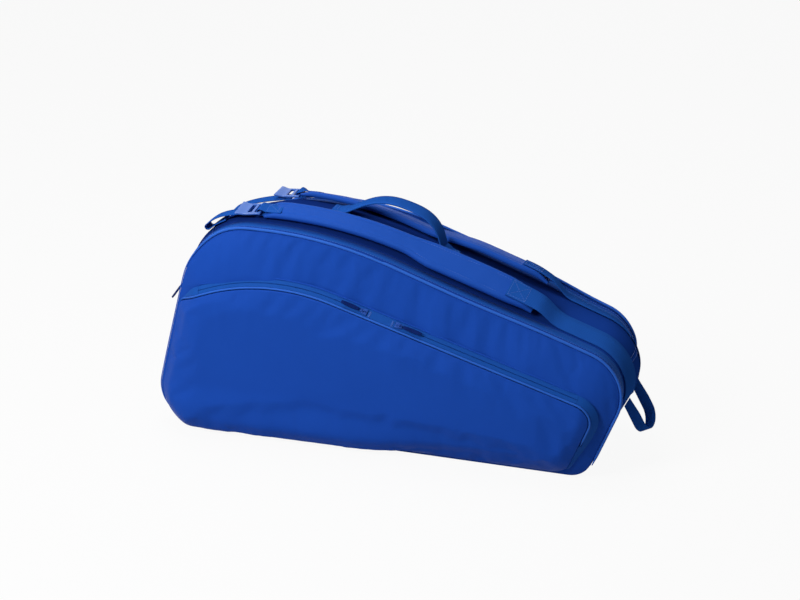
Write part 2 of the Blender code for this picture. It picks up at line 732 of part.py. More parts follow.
def build_strap(name, side):
    """A padded shoulder strap, its webbing at the tail and its adjuster at the head."""
    head, tail = BODY.crossing(0, STRAP_HEAD_X[name]), BODY.crossing(0, STRAP_TAIL_X)
    tip = STRAP_WEBBING + 2 * STRAP_TIP_MARGIN
    rings = []
    for s in BODY.between(head, tail, STRAP_STEP):
        wide = tip + (STRAP_WIDTH - tip) * smooth((STRAP_TAIL_X - s.point.x) / STRAP_TAPER)
        half, soft = wide / 2, STRAP_EDGE
        section = [(half - soft, 0), (half, soft), (half, STRAP_WALL - soft), (half - soft, STRAP_WALL),
                   (soft - half, STRAP_WALL), (-half, STRAP_WALL - soft), (-half, soft), (soft - half, 0)]
        rings.append([on_strap(s, side, a, h) for a, h in section])
    sweep(f"{name}_strap_pad", strap_cloth, rings)

    box, hinge = BODY.crossing(0, STRAP_BOX_X), BODY.crossing(0, STRAP_HINGE_X)
    leaves, lands = STRAP_TAIL_X + WEBBING_LEAVES, STRAP_HINGE_X - WEBBING_LANDS
    rings = []
    for s in BODY.between(box, hinge - FIT, WEBBING_STEP):
        low = (STRAP_WALL + FIT) * (1 - smooth((s.point.x - leaves) / (lands - leaves)))
        rings.append(strap_ring(s, side, STRAP_WEBBING, low, low + WEBBING_WALL))
    sweep(f"{name}_strap_webbing", webbing_cloth, rings)
    rings = [strap_ring(s, side, STRAP_WEBBING, 0, WEBBING_WALL)
             for s in BODY.between(hinge, BODY.crossing(1, STRAP_END_Z, last=True))]
    sweep(f"{name}_strap_anchor", webbing_cloth, rings)

    edges = [on_strap(BODY.at(hinge), side, -side * way * STRAP_WEBBING / 2, WEBBING_WALL) for way in (1, -1)]
    hang(f"{name}_strap_lift", (edges[0] + edges[1]) / 2, edges[1] - edges[0],
         [f"{name}_strap_pad", f"{name}_strap_webbing"])
    build_adjuster(name, side, head)


def tail_height(share):
    """How high the webbing tail stands over the gusset, from under its lock to its fold."""
    return FIT + WEBBING_WALL / 2 + TAIL_WEB_LIFT * smooth(share)


def lock_rings():
    """Sections of a ladder lock along its length: a round bar, flat rails and a thumb lip that turns up."""
    start, stop = -LOCK_BAR / 2, LOCK_LENGTH - LOCK_BAR / 2
    lip = stop - LOCK_LIP_RUN
    places = [(start, LOCK_WALL / 2), (start + LOCK_WALL / 4, LOCK_WALL)]
    places += [(x, LOCK_WALL + (LOCK_LIP_WALL - LOCK_WALL) * smooth((x - lip) / LOCK_LIP_RUN))
               for x in spread(lip, stop, FOLD_STEPS)]
    rings = []
    for x, wall in places:
        share = smooth((x - lip) / LOCK_LIP_RUN)
        half = LOCK_WIDTH / 2 + LOCK_LIP_FLARE * share
        middle = LOCK_LIP_RISE * share
        tall, edge = wall / 2, min(LOCK_EDGE, wall / 4)
        section = [(half - edge, -tall), (half, edge - tall), (half, tall - edge), (half - edge, tall),
                   (edge - half, tall), (-half, tall - edge), (-half, edge - tall), (edge - half, -tall)]
        rings.append([Vector((x, y, middle + z)) for y, z in section])
    return rings


def build_adjuster(name, side, head):
    """The looped tab at a strap's head, the ladder lock in it and the webbing tail sewn to the gusset."""
    station = BODY.at(head)
    origin = on_strap(station, side, 0, 0)
    along = (origin - on_strap(BODY.at(head + TAB_GRIP), side, 0, 0)).normalized()
    zip_way = on_strap(station, side, STRAP_PROBE, 0) - origin
    up = (along.cross(zip_way) * -side).normalized()
    across = up.cross(along)
    bend_z = STRAP_WALL + FIT - TAB_BEND
    pivot = origin + along * TAB_REACH + up * bend_z
    mid = TAB_BEND + WEBBING_WALL / 2
    centres = [origin - along * TAB_GRIP + up * (bend_z + mid)]
    ups = [up]
    for angle in spread(math.pi / 2, -math.pi / 2, FOLD_STEPS):
        way = along * math.cos(angle) + up * math.sin(angle)
        centres.append(pivot + way * mid)
        ups.append(way)
    centres.append(origin + along * 2 * FIT + up * (bend_z - mid))
    ups.append(-up)
    sweep(f"{name}_adjuster_tab", webbing_cloth,
          strip_rings(centres, ups, across, ADJUSTER_WEBBING, WEBBING_WALL))

    start = head - TAIL_WEB_START
    fold = BODY.crossing(0, HEAD_TOP_X + TAIL_FOLD_SETBACK)
    tilts = []
    for reach in spread(LOCK_SLOT, LOCK_LENGTH, RUN_STEPS):
        length = head - TAB_REACH - reach
        over = tail_height((start - length) / (start - fold)) + WEBBING_WALL / 2 + LOCK_CLEAR + LOCK_WALL / 2
        below = on_strap(BODY.at(length), side, 0, over) - pivot
        tilts.append(math.atan2(-below.dot(up), below.dot(along)))
    turn = Matrix((along, across, up)).transposed().to_4x4()
    place = Matrix.Translation(pivot) @ turn @ Matrix.Rotation(min(tilts), 4, "Y")
    lock = sweep(f"{name}_ladder_lock", lock_plastic, lock_rings())
    lock.matrix_world = place
    first = LOCK_BAR / 2
    for slot, x in (("tab_slot", first), ("webbing_slot", first + LOCK_SLOT + LOCK_BAR)):
        outline = box_outline(x, x + LOCK_SLOT, LOCK_WIDTH / 2 - LOCK_RAIL, LOCK_RAIL / 4)
        faces = [[Vector((*p, z)) for p in outline] for z in (-LOCK_LENGTH, LOCK_LENGTH)]
        cutter = guide(f"{name}_{slot}", faces)
        cutter.matrix_world = place
        combine(lock, "DIFFERENCE", cutter)
    hang(f"{name}_lock_tilt", pivot, across,
         [lock.name, f"{name}_tab_slot", f"{name}_webbing_slot"], f"{name}_strap_lift")
    carry(f"{name}_strap_lift", [f"{name}_adjuster_tab"])

    spots = [(start - share * (start - fold), tail_height(share)) for share in spread(0, 1, RUN_STEPS)]
    bend, low = TAIL_WEB_LIFT / 2, tail_height(0)
    for angle in spread(math.pi / 3, -math.pi / 3, FOLD_STEPS):
        spots.append((fold - bend * math.cos(angle), low + bend + bend * math.sin(angle)))
    spots += [(fold, low), (fold + TAIL_WEB_SEWN, low)]
    centres = [on_strap(BODY.at(length), side, 0, height) for length, height in spots]
    probe = on_strap(BODY.at(start), side, STRAP_PROBE, 0)
    width_way = (probe - on_strap(BODY.at(start), side, 0, 0)).normalized()
    ups = []
    for i in range(len(centres)):
        way = centres[min(i + 1, len(centres) - 1)] - centres[max(i - 1, 0)]
        ups.append(way.cross(width_way).normalized())
    sweep(f"{name}_webbing_tail", webbing_cloth,
          strip_rings(centres, ups, width_way, ADJUSTER_WEBBING, WEBBING_WALL))


def build_handle():
    """The webbing grab handle on the spine and the sewn tabs at its ends."""
    lengths = [BODY.crossing(0, HANDLE_HEAD_X), BODY.crossing(0, HANDLE_TAIL_X)]
    feet = [on_skin(BODY.at(d), 0, crown(0, BODY.at(d).point.y) + HANDLE_LIFT) for d in lengths]
    chord = feet[1] - feet[0]
    up = chord.cross(Y_AXIS).normalized()
    start, stop = FIT / chord.length, 1 - FIT / chord.length
    centres = []
    for t in spread(start, stop, HANDLE_STEPS):
        off_middle = min(abs(2 * (t - start) / (stop - start) - 1), 1.0)
        arch = (1 - off_middle ** HANDLE_BLUNTNESS) ** HANDLE_SHOULDER
        centres.append(feet[0] + chord * t + up * (HANDLE_RISE * arch))
    ups = [up]
    for before, after in zip(centres, centres[2:]):
        ups.append((after - before).cross(Y_AXIS).normalized())
    ups.append(up)
    sweep("grab_handle", webbing_cloth, strip_rings(centres, ups, Y_AXIS, HANDLE_WIDTH, HANDLE_WALL))
    hang("handle_swing", feet[0], chord, ["grab_handle"])

    for name, foot, length, sign in (("handle_tab_head", feet[0], lengths[0], -1),
                                     ("handle_tab_tail", feet[1], lengths[1], 1)):
        spots = [foot]
        rests = FIT + HANDLE_WALL / 2
        for share in spread(0, 1, RAMP_STEPS)[1:]:
            s = BODY.at(length + sign * share * HANDLE_RAMP)
            lift = rests + (HANDLE_LIFT - rests) * (1 - smooth(share))
            spots.append(on_skin(s, 0, crown(0, s.point.y) + lift))
        for run in (HANDLE_SEWN / 2, HANDLE_SEWN):
            s = BODY.at(length + sign * (HANDLE_RAMP + run))
            spots.append(on_skin(s, 0, crown(0, s.point.y) + rests))
        ups = [up]
        for before, after in zip(spots, spots[2:]):
            ups.append((after - before).cross(Y_AXIS).normalized() * sign)
        ups.append(ups[-1])
        sweep(name, webbing_cloth, strip_rings(spots, ups, Y_AXIS, HANDLE_WIDTH, HANDLE_WALL))


def build_haul_loop():
    """The webbing loop on the tail end, hanging from its two sewn ends."""
    low = BODY.crossing(1, LOOP_Z, last=True)
    feet = []
    for side in (-1, 1):
        for length in (low - side * LOOP_SKEW, low - side * LOOP_SKEW - LOOP_WEBBING):
            s = BODY.at(length)
            feet.append(on_skin(s, side * LOOP_Y, crown(0, s.point.y) + FIT))
    drop = Vector((math.cos(LOOP_HANG), 0, -math.sin(LOOP_HANG)))
    broad = Vector((math.sin(LOOP_HANG), 0, math.cos(LOOP_HANG))) * LOOP_WEBBING
    near, far = feet[0], feet[2]
    apart = (far - near) / 2
    aside = apart.normalized()
    middle = (near + far) / 2 + drop * LOOP_LEG
    legs = []
    for foot, top in (feet[:2], feet[2:]):
        turns = [(LOOP_LEG * share, (top - foot).lerp(broad, smooth(share * LOOP_LEG / LOOP_TWIST)))
                 for share in LEG_RINGS]
        legs.append([(foot + drop * run, across) for run, across in turns])
    spots = [(p, across, -aside) for p, across in legs[0]]
    for angle in spread(0, math.pi, FOLD_STEPS):
        way = drop * math.sin(angle) - aside * math.cos(angle)
        spots.append((middle + way * apart.length, broad, way))
    spots += [(p, across, aside) for p, across in reversed(legs[1])]
    rings = []
    for spot, across, way in spots:
        inner, outer = spot - way * LOOP_WALL / 2, spot + way * LOOP_WALL / 2
        rings.append([inner, inner + across, outer + across, outer])
    sweep("haul_loop", webbing_cloth, rings)
    hang("tail_loop_swing", (feet[1] + feet[3]) / 2, feet[1] - feet[3], ["haul_loop"])


def build_main_sliders():
    """One slider on each compartment's zip, parked on the straight of the head end."""
    length = BODY.crossing(1, SLIDER_Z)
    station = BODY.at(length)
    up = Vector((station.normal.x, 0, station.normal.y))
    travel = Vector((-station.normal.y, 0, station.normal.x))
    for name, side in SIDES.items():
        origin = on_skin(station, side * ZIP_Y, 0)
        build_slider(name, origin, travel, up, (SLIDER_WIDTH / 2, SLIDER_WIDTH / 2))


for old in list(bpy.data.objects):
    bpy.data.objects.remove(old)
parts = bpy.data.collections.new("racket_bag")
cutters = bpy.data.collections.new("racket_bag_cutters")
bpy.context.scene.collection.children.link(parts)
bpy.context.scene.collection.children.link(cutters)
panel_cloth = material("panel_cloth", 38, 80, 180, 0.55)
gusset_cloth = material("gusset_cloth", 48, 74, 168, 0.6)
base_cloth = material("base_cloth", 22, 50, 120, 0.7)
lining_cloth = material("lining_cloth", 30, 44, 90, 0.8)
strap_cloth = material("strap_cloth", 58, 100, 196, 0.6)
webbing_cloth = material("webbing_cloth", 40, 78, 172, 0.65)
piping_cloth = material("piping_cloth", 70, 116, 208, 0.5)
zip_cloth = material("zip_cloth", 30, 66, 150, 0.55)
lock_plastic = material("lock_plastic", 60, 110, 205, 0.4)
slider_metal = material("slider_metal", 44, 76, 150, 0.35, 0.4)
pull_rubber = material("pull_rubber", 22, 30, 72, 0.5)

build_carcass()
for lid_name, lid_side in SIDES.items():
    build_lid(lid_name, lid_side)
    build_strap(lid_name, lid_side)
build_pocket()
build_handle()
build_haul_loop()
build_main_sliders()
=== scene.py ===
"""Dresses the packed racket tournament bag in padded cloth, webbing, zips and hardware.

Metres, +Z up, +X towards the tail end (where racket handles lie), front at -Y, as in the packed frame.
"""
import math
from collections import namedtuple

import bmesh
import bpy
import numpy as np
from mathutils import Matrix, Quaternion, Vector, noise


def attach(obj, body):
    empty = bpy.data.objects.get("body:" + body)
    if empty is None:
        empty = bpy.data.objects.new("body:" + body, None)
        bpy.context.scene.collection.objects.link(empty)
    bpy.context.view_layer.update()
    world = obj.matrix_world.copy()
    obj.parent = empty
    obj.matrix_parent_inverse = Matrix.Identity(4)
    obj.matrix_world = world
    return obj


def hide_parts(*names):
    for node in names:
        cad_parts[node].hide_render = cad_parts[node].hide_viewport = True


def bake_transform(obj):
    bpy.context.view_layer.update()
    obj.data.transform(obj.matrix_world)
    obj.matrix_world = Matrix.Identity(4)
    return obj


bl_info = {
    "name": "Racket Tournament Bag",
    "version": (1, 0, 0),
    "blender": (4, 5, 0),
    "location": "3D View > Sidebar > Racket Bag",
    "description": "Dresses the packed racket bag in padded cloth, webbing, zips and hardware",
    "category": "Object",
}

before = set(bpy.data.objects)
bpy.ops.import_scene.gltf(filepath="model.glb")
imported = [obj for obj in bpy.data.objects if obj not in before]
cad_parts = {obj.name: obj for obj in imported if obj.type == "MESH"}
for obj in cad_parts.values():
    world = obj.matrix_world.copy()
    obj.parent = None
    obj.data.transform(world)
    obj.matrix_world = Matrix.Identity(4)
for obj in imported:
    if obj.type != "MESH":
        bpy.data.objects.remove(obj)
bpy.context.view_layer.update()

SIDES = {"front": -1, "rear": 1}
Y_AXIS = Vector((0, 1, 0))
GAP = 0.0003            # clearance between pieces
PROBE = 0.001           # step that finds a direction on a surface
ARC_STEPS = 24          # stations round a corner, less one
CORD_SIDES = 10         # faces round a cord
BAND_STEP = 0.006       # between the stations of a gusset band, main zip or strap
CUSHION_SEAM = 0.0075   # from a strap's edge to its sewn groove
CUSHION_GROOVE = 0.0011     # width and depth of that groove
CUSHION_EDGE = ((0.0010, 0.10), (0.0002, 0.32), (0.0, 0.52), (0.0006, 0.74), (0.0018, 0.91))   # in, height
SEAM_PIN = 0.0025       # width of cloth that a seam holds in the simulation
CLOTH_SLACK = 0.005     # share by which the cloth is too large for its outline
CLOTH_CAP = 0.005       # furthest that the simulation may move a point
CLOTH_FRAMES = 20       # frames of the simulation
TOOTH_LENGTH = 0.0034   # zip tooth across its zip
TOOTH_AT = 0.0010       # from a zip's middle to a tooth's middle
TOOTH_SPAN = 0.0032     # from the lower pocket tape to the zip's middle
TAPE_LAP = 3 * GAP      # how far the underside of a main zip's tape reaches past its edge
HEM_ROLL = 0.0013       # radius of the rolled hem over the pocket zips
GORE_WALL = 0.0012      # thickness of the pocket's gussets
TACKS, TACK_PITCH, TACK_LENGTH = 9, 0.0011, 0.0036      # bar tacks at both ends of the zip bridge
TACK_INSET, TACK_LIFT = 0.004, 0.001    # from the bridge's ends, and off the shelf and the tape
TAB_SINK = 0.0012       # how far a tab is sewn into the padding
TAB_SLACK = 0.0012      # how much wider the front tab's loop is
TAB_BOX = (0.004, 0.022)    # where a tab's box stitch starts and ends, from the strap's end
TAIL_SEWN = 0.030       # adjusting webbing that is sewn down past its fold
HANDLE_BOX = (0.002, 0.007)     # where the handle's stitches start and end, past its ramp
HANDLE_SQUARE = (2.5, 1.25)     # powers that shape the handle's arch
LOCK_LEVEL = {"front": 0.6, "rear": 1.0}    # share by which a lock is turned level
TAB_RISE = 0.004        # how far from the strap's end a tab starts to rise
SEAM_INSET = 0.003      # from an edge of webbing to its stitches
HINGE_RUN = 0.018       # webbing that bends on either side of a strap's hinge
BOX_END = 0.031         # where a strap's box stitch ends, from the webbing's end
PLATE = 0.0015          # thickness of a slider's plate
BAIL_RADIUS, BAIL_WIRE = 0.0034, 0.0007     # a slider's bail and its wire
PULL_RING, PULL_WIRE = 0.0046, 0.0006   # radius of a pull's ring, before it is pressed oval, and of its wire
GRIP_START, GRIP_WALL = 0.0078, 0.0026  # where a pull's grip starts, and its thickness
RIBS, RIB_START, RIB_PITCH, RIB_SIZE = 8, 0.0130, 0.0027, (0.0042, 0.0010, 0.0008)  # across its grip
BAIL_HEIGHT = 0.001     # from a slider's plate to the middle of its pull's ring
RIM_SEAM = 0.0028       # from a zip's tape to the stitches of the rim band
CROSS_INSET = 0.004     # from the gusset's edges to the ends of its cross seams
CORD_STEP = 0.004       # between the stations of a pocket cord
RIM_EDGE = 0.004        # from a side's seam plane to the edge of its rim band
BOARD_EDGE = 0.0045     # from a side's seam plane to the edge of the base board
BEFORE_SWELL = 0.94     # share of a side's bulge before it swells
STRAP_ROUND = 0.0025    # how much of a strap's edge is round
WELT_THIN = 0.35        # piping down the head end, as a share of its full thickness
REAR_BOW = 0.6          # share of the rear strap's run that bows up
REAR_RISE = ((0.56, 0.18), (0.86, 0.14))    # where it rises once more and falls: share of its run, and run
SAG_HEAD = (0.01, 0.08)     # where the pocket's sag grows at its head: start from the corner, and run
SAG_LOW = 0.09              # share of the sag's height at which it is largest
TAIL_SUNK = ((0.20, 0.10), (0.13, 0.05))    # where the rear tail edge sinks: start and run in x and in z
DENT_X, DENT_Y, DENT_Z = (0.16, 0.10), (-0.06, 0.06), (0.26, 0.06)  # the spine's dent, the same in -x, y, z
FRONT_Z, FRONT_X = (0.10, 0.16), (0.10, 0.18)   # where the front's sinking grows in z and fades in x
TUCK_X, TUCK_Z, TUCK_REACH = -0.297, 0.310, 0.045   # the front head corner's tuck
TUCK_BACK, TUCK_DOWN = 0.75, 0.65   # its shares along the bag and down
QUILT = 0.07                # pitch of the middle wall's quilting
PAINTED_SHADE_ACROSS = (0.066, 0.079)    # where the painted shade of the spine fades to either side, beside the straps' edges
PAINTED_SHADE_ALONG = (0.20, 0.30)       # where the painted shade fades towards the tail, past the straps
FLOOR_GLOW = 0.93       # share of the floor that is seen as plain white
WORLD_LIGHT = 0.14      # strength of the light from all round
CREASE = math.radians(50)   # edges sharper than this stay sharp
LAMPS = (("key_light", (-0.85, -1.45, 1.55), (-0.15, 0, 0.22), 0.9, 34),
         ("top_light", (-0.4, 0.3, 2.4), (0, 0, 0.2), 1.6, 24))     # name, place, aim, width and power
CAMERA_TURN, CAMERA_RISE = math.radians(17), math.radians(23)
CAMERA_TARGET, CAMERA_DISTANCE = Vector((-0.003, 0, 0.2116)), 3.0
CAMERA_SENSOR, CAMERA_LENS = 36.0, 87.75    # millimetres
FLOOR_SIZE = 30

Station = namedtuple("Station", "point normal")
Spot = namedtuple("Spot", "centre along up")
Fold = namedtuple("Fold", "height wide tall seed")

SIDE_SPANS, POCKET_SPANS, WALL_SPANS = (150, 66), (132, 46), (90, 44)   # of a net, along and up
SIDE_PRESSURE, POCKET_PRESSURE = 2.5, 2.0
SIDE_SEAM, POCKET_SEAM = (0.012, 0.02, 0.07), (0.010, 0.015, 0.08)  # folds by a seam: full, fading, run
SIDE_FOLDS = (Fold(0.0011, 0.022, 0.11, 3.1), Fold(0.0004, 0.010, 0.05, 8.7))
POCKET_FOLDS = (Fold(0.0012, 0.026, 0.12, 5.3), Fold(0.0004, 0.011, 0.05, 1.9))
BROAD_FOLD = Fold(0.0012, 0.09, 0.14, 12.4)


def length(name, description, default):
    """A length that a user may change."""
    return bpy.props.FloatProperty(name=name, description=description, default=default, precision=4,
                                   unit="LENGTH")


def turn(name, description, degrees):
    """An angle that a user may change."""
    return bpy.props.FloatProperty(name=name, description=description, default=math.radians(degrees),
                                   subtype="ANGLE")


def tint(name, description, red, green, blue):
    """A colour that a user may change, given as screen values."""
    linear = [((c / 255 + 0.055) / 1.055) ** 2.4 for c in (red, green, blue)]
    return bpy.props.FloatVectorProperty(name=name, description=description, default=linear, size=3,
                                         subtype="COLOR", min=0.0, max=1.0)


class BodySizes(bpy.types.PropertyGroup):
    """Side outline, depth and padding of the bag's body."""
    seam_lift: length("Seam lift", "Height of the lowest seam over the floor", 0.003)
    head_low_x: length("Head foot", "Lower corner of the head end", -0.382)
    head_top_x: length("Head top", "Upper corner of the head end", -0.299)
    top_z: length("Top", "Height of the spine's flat part", 0.344)
    spine_bend_x: length("Spine bend", "Where the spine starts to fall", -0.087)
    tail_top_x: length("Tail top", "Upper corner of the tail end", 0.382)
    tail_top_z: length("Tail height", "Height of the tail's upper corner", 0.178)
    tail_low_x: length("Tail foot", "Lower corner of the tail end", 0.314)
    head_low_radius: length("Head foot rounding", "Radius of the head end's lower corner", 0.060)
    head_top_radius: length("Head top rounding", "Radius of the head end's upper corner", 0.110)
    spine_radius: length("Spine rounding", "Radius of the bend in the spine", 0.620)
    tail_top_radius: length("Tail top rounding", "Radius of the tail's upper corner", 0.068)
    tail_low_radius: length("Tail foot rounding", "Radius of the tail's lower corner", 0.035)
    seam_y: length("Side seam", "Half the depth between the side seams", 0.097)
    zip_y: length("Zip line", "Half the depth between the main zips", 0.0735)
    zip_half: length("Zip half width", "From a zip's middle to the edge of its tape", 0.008)
    crown: length("Spine crown", "How far the gusset rises between its edges", 0.011)
    crown_reach: length("Crown reach", "Height over which the crown grows", 0.150)
    bulge: length("Panel bulge", "How far a padded side stands out", 0.016)
    bulge_reach: length("Bulge reach", "Width of the rounded border of a side", 0.055)
    slump_y: length("Slump start", "Depth behind which the bag has settled", 0.010)
    slump_drop: length("Slump drop", "How far the rear upper head corner has sunk", 0.022)
    slump_foot: length("Slump foot", "Height above which the rear side has sunk", 0.258)
    slump_x: length("Slump end", "Where the sunk part of the rear side ends", 0.050)
    slump_draw: length("Tail draw", "How far the rear of the tail end is drawn in", 0.015)
    slump_tail: length("Tail draw start", "Where the drawn part of the tail end starts", 0.180)
    tail_sink: length("Tail sink", "How far the rear upper tail corner has sunk", 0.004)
    dent: length("Head dent", "How far the spine has sunk behind the front strap's head", 0.016)
    front_drop: length("Front drop", "How far the front's upper edge has settled", 0.0055)
    tuck: length("Corner tuck", "How far the front upper head corner is drawn in", 0.0042)
    panel_wall: length("Panel wall", "Thickness of a padded side", 0.0036)
    gusset_wall: length("Gusset wall", "Thickness of the gusset cloth", 0.0028)
    base_wall: length("Base wall", "Thickness of the base board", 0.004)
    divider_wall: length("Divider wall", "Thickness of the middle wall", 0.004)
    piping: length("Piping radius", "Radius of the piping round each side", 0.0022)
    piping_end_z: length("Piping end", "Height at which the piping starts and ends", 0.025)


class PocketSizes(bpy.types.PropertyGroup):
    """Outline and depth of the arched front pocket."""
    margin: length("Margin", "From the side's edge to the pocket", 0.006)
    tail_margin: length("Tail margin", "From the tail end to the pocket", 0.028)
    head_z: length("Head height", "Height of the zip at the head end", 0.2125)
    mid_z: length("Middle height", "Height of the zip's falling line at the middle", 0.2232)
    climb: turn("Climb", "Slope of the zip at the head end", 26.6)
    fall: turn("Fall", "Slope of the zip towards the tail", 16.9)
    head_radius: length("Head rounding", "Radius of the upper head corner", 0.018)
    arch_radius: length("Arch rounding", "Radius at the top of the arch", 0.308)
    tail_radius: length("Tail rounding", "Radius of the upper tail corner", 0.028)
    low_radius: length("Low rounding", "Radius of the lower tail corner", 0.030)
    wall: length("Wall", "Thickness of the pocket cloth", 0.0016)
    hem: length("Hem", "Height of the sewn edges over the side", 0.0032)
    rise: length("Rise", "Height of the zip edge over the side", 0.0135)
    swell: length("Swell", "Height of the pocket's middle over the side", 0.0175)
    reach: length("Reach", "Width of the pocket's rounded border", 0.040)
    sag_front: length("Sag", "How far the pocket's belly sags forwards", 0.015)
    sag_drop: length("Sag drop", "How far the pocket's belly sags down", 0.0075)
    sag_height: length("Sag height", "Height over which the belly sags", 0.085)
    sag_x: length("Sag end", "Where the belly starts to fade towards the tail", -0.060)
    sag_run: length("Sag fade", "Run over which the belly fades", 0.170)
    fade_head: length("Head fade", "Run over which the hem rises at the head end", 0.030)
    fade_base: length("Base fade", "Run over which the hem rises at the base", 0.080)
    piping: length("Piping radius", "Radius of the piping along the zip", 0.0017)
    tail_run: length("Tail run", "Length of the gusset below the tail corner", 0.032)
    tape: length("Tape width", "Width of the lower zip tape", 0.0030)
    shelf: turn("Shelf angle", "Slope of the zip shelf", 45)
    zip_head_x: length("Zip start", "Where the left zip starts", -0.284)
    bridge_head_x: length("Bridge start", "Where the bridge between the zips starts", -0.019)
    bridge_tail_x: length("Bridge end", "Where the bridge between the zips ends", 0.023)


class StrapSizes(bpy.types.PropertyGroup):
    """Shoulder straps with their webbing and adjusters."""
    middle_y: length("Strap line", "From the bag's middle to a strap's middle", 0.045)
    width: length("Width", "Width of a padded strap", 0.048)
    wall: length("Thickness", "Thickness of a padded strap", 0.009)
    nip: length("Nip", "How much narrower a strap is towards its head", 0.008)
    nip_x: length("Nip end", "Where a strap starts to widen", 0.012)
    nip_run: length("Nip run", "Run over which a strap widens", 0.048)
    bow: length("Bow", "How far a strap stands up off the spine in its middle", 0.004)
    front_rise: length("Front rise", "How much further the front strap stands up towards its tail", 0.006)
    front_twist: turn("Front twist", "How far the front strap is turned to the front towards its tail", 8)
    rear_rise: length("Rear rise", "How far the rear strap stands up off the spine towards its tail", 0.011)
    front_head_x: length("Front head", "Head end of the front strap", -0.200)
    rear_head_x: length("Rear head", "Head end of the rear strap", -0.172)
    tail_x: length("Tail", "Tail end of a strap's padding", 0.215)
    taper: length("Taper", "Run over which the padding narrows to its tip", 0.050)
    hinge_x: length("Hinge", "Where the webbing is sewn to the gusset", 0.262)
    box_run: length("Box stitch", "Length of webbing sewn on the padding", 0.043)
    end_z: length("Webbing end", "Height at which the webbing ends on the tail", 0.122)
    webbing: length("Webbing width", "Width of the strap webbing", 0.036)
    webbing_wall: length("Webbing thickness", "Thickness of all strap webbing", 0.0016)
    adjuster: length("Adjuster width", "Width of the adjusting webbing", 0.025)
    tab_grip: length("Tab grip", "Length of the tab that is sewn on the padding", 0.027)
    tab_bend: length("Tab bend", "Inner radius of the tab's loop", 0.0030)
    tab_reach: length("Tab reach", "From the padding's end to the tab's loop", 0.0068)
    front_fold: length("Front fold", "From the outline's upper corner to the front webbing's fold", 0.014)
    rear_fold: length("Rear fold", "From the outline's upper corner to the rear webbing's fold", 0.030)
    front_lift: length("Front loop", "Height of the front adjusting webbing's loop", 0.0085)
    rear_lift: length("Rear loop", "Height of the rear adjusting webbing's loop", 0.0030)
    rear_stand: length("Rear stand", "Height of the rear adjusting webbing's middle over the gusset", 0.001)
    rear_slant: length("Rear slant", "How far the rear adjusting webbing runs in to the spine", 0.024)


class TrimSizes(bpy.types.PropertyGroup):
    """Grab handle, haul loop, zips and sewing."""
    handle_head_x: length("Handle head", "Head end of the grab handle", -0.088)
    handle_tail_x: length("Handle tail", "Tail end of the grab handle", 0.062)
    handle_width: length("Handle width", "Width of the grab handle", 0.032)
    handle_wall: length("Handle thickness", "Thickness of the grab handle", 0.0026)
    handle_lift: length("Handle foot", "Height of the handle's feet over the spine", 0.006)
    handle_rise: length("Handle rise", "Height of the handle over its feet", 0.042)
    handle_lean: length("Handle lean", "How far the handle's arch leans to the tail", 0.012)
    handle_ramp: length("Handle ramp", "Run over which a tab comes down to the spine", 0.014)
    handle_sewn: length("Handle seam", "Length of a tab that is sewn down", 0.009)
    loop_z: length("Loop foot", "Height of the haul loop's lower edge", 0.100)
    loop_width: length("Loop width", "Width of the haul loop's webbing", 0.017)
    loop_wall: length("Loop thickness", "Thickness of the haul loop's webbing", 0.0018)
    loop_y: length("Loop bend", "Half the distance between the loop's legs", 0.018)
    loop_skew: length("Loop skew", "How far the loop's ends are sewn above and below its middle", 0.008)
    loop_leg: length("Loop leg", "Length of a leg of the haul loop", 0.035)
    loop_twist: length("Loop twist", "Run over which a leg turns", 0.022)
    loop_hang: turn("Loop hang", "Slope at which the haul loop hangs", 62)
    tooth_pitch: length("Tooth pitch", "Spacing of the zip teeth", 0.0024)
    tooth_height: length("Tooth height", "Height of the zip teeth", 0.0022)
    tooth_sink: length("Tooth sink", "How far the teeth lie under the tapes' middle", 0.0008)
    tape_wall: length("Tape wall", "Thickness of the zip tapes", 0.0009)
    tape_slit: length("Tape slit", "From a zip's middle to the inner edge of a tape", 0.0005)
    slider_z: length("Slider height", "Where the main sliders are parked", 0.236)
    slider_length: length("Slider length", "Length of a slider", 0.011)
    slider_width: length("Slider width", "Width of a slider", 0.0088)
    pull_length: length("Pull length", "Length of a zip pull", 0.0365)
    pull_width: length("Pull width", "Width of a zip pull's grip", 0.0058)
    main_droop: turn("Main pull tilt", "How far the main pulls stand off the gusset", 22)
    pocket_droop: turn("Pocket pull tilt", "How far the pocket pulls stand off their zips", 3)
    stitch: length("Stitch", "Length of a stitch", 0.0032)
    stitch_gap: length("Stitch gap", "From one stitch to the next", 0.0011)
    thread: length("Thread", "Thickness of the sewing thread", 0.0008)


class BagColours(bpy.types.PropertyGroup):
    """Colours of the bag's cloth and hardware."""
    panel: tint("Sides", "Coated cloth of the sides and the pocket", 27, 74, 172)
    gusset: tint("Gusset", "Ribbed cloth of the gusset", 24, 62, 148)
    # Painted shade: this colour is laid on the gusset and the main zips' tapes between and beside the straps.
    spine: tint("Spine", "Open mesh along the spine between the straps", 15, 36, 98)
    base: tint("Base", "Cloth of the base", 18, 44, 108)
    lining: tint("Lining", "Cloth inside the bag", 34, 46, 84)
    strap: tint("Straps", "Cloth of the padded straps", 28, 78, 174)
    webbing: tint("Webbing", "Woven straps, handle and loop", 35, 93, 188)
    piping: tint("Piping", "Piping and bindings", 44, 98, 196)
    tape: tint("Zip tape", "Tapes of the zips", 25, 77, 160)
    teeth: tint("Zip teeth", "Teeth of the zips", 22, 64, 146)
    lock: tint("Locks", "Plastic of the ladder locks", 64, 108, 192)
    slider: tint("Sliders", "Painted metal of the sliders", 40, 78, 160)
    pull: tint("Pulls", "Rubber of the zip pulls", 12, 34, 96)
    thread: tint("Thread", "Sewing thread", 52, 98, 186)
    floor: tint("Floor", "Studio floor", 205, 205, 205)


def ease(t):
    """Goes from 0 to 1 with a soft start and end."""
    t = min(max(t, 0.0), 1.0)
    return t * t * (3 - 2 * t)


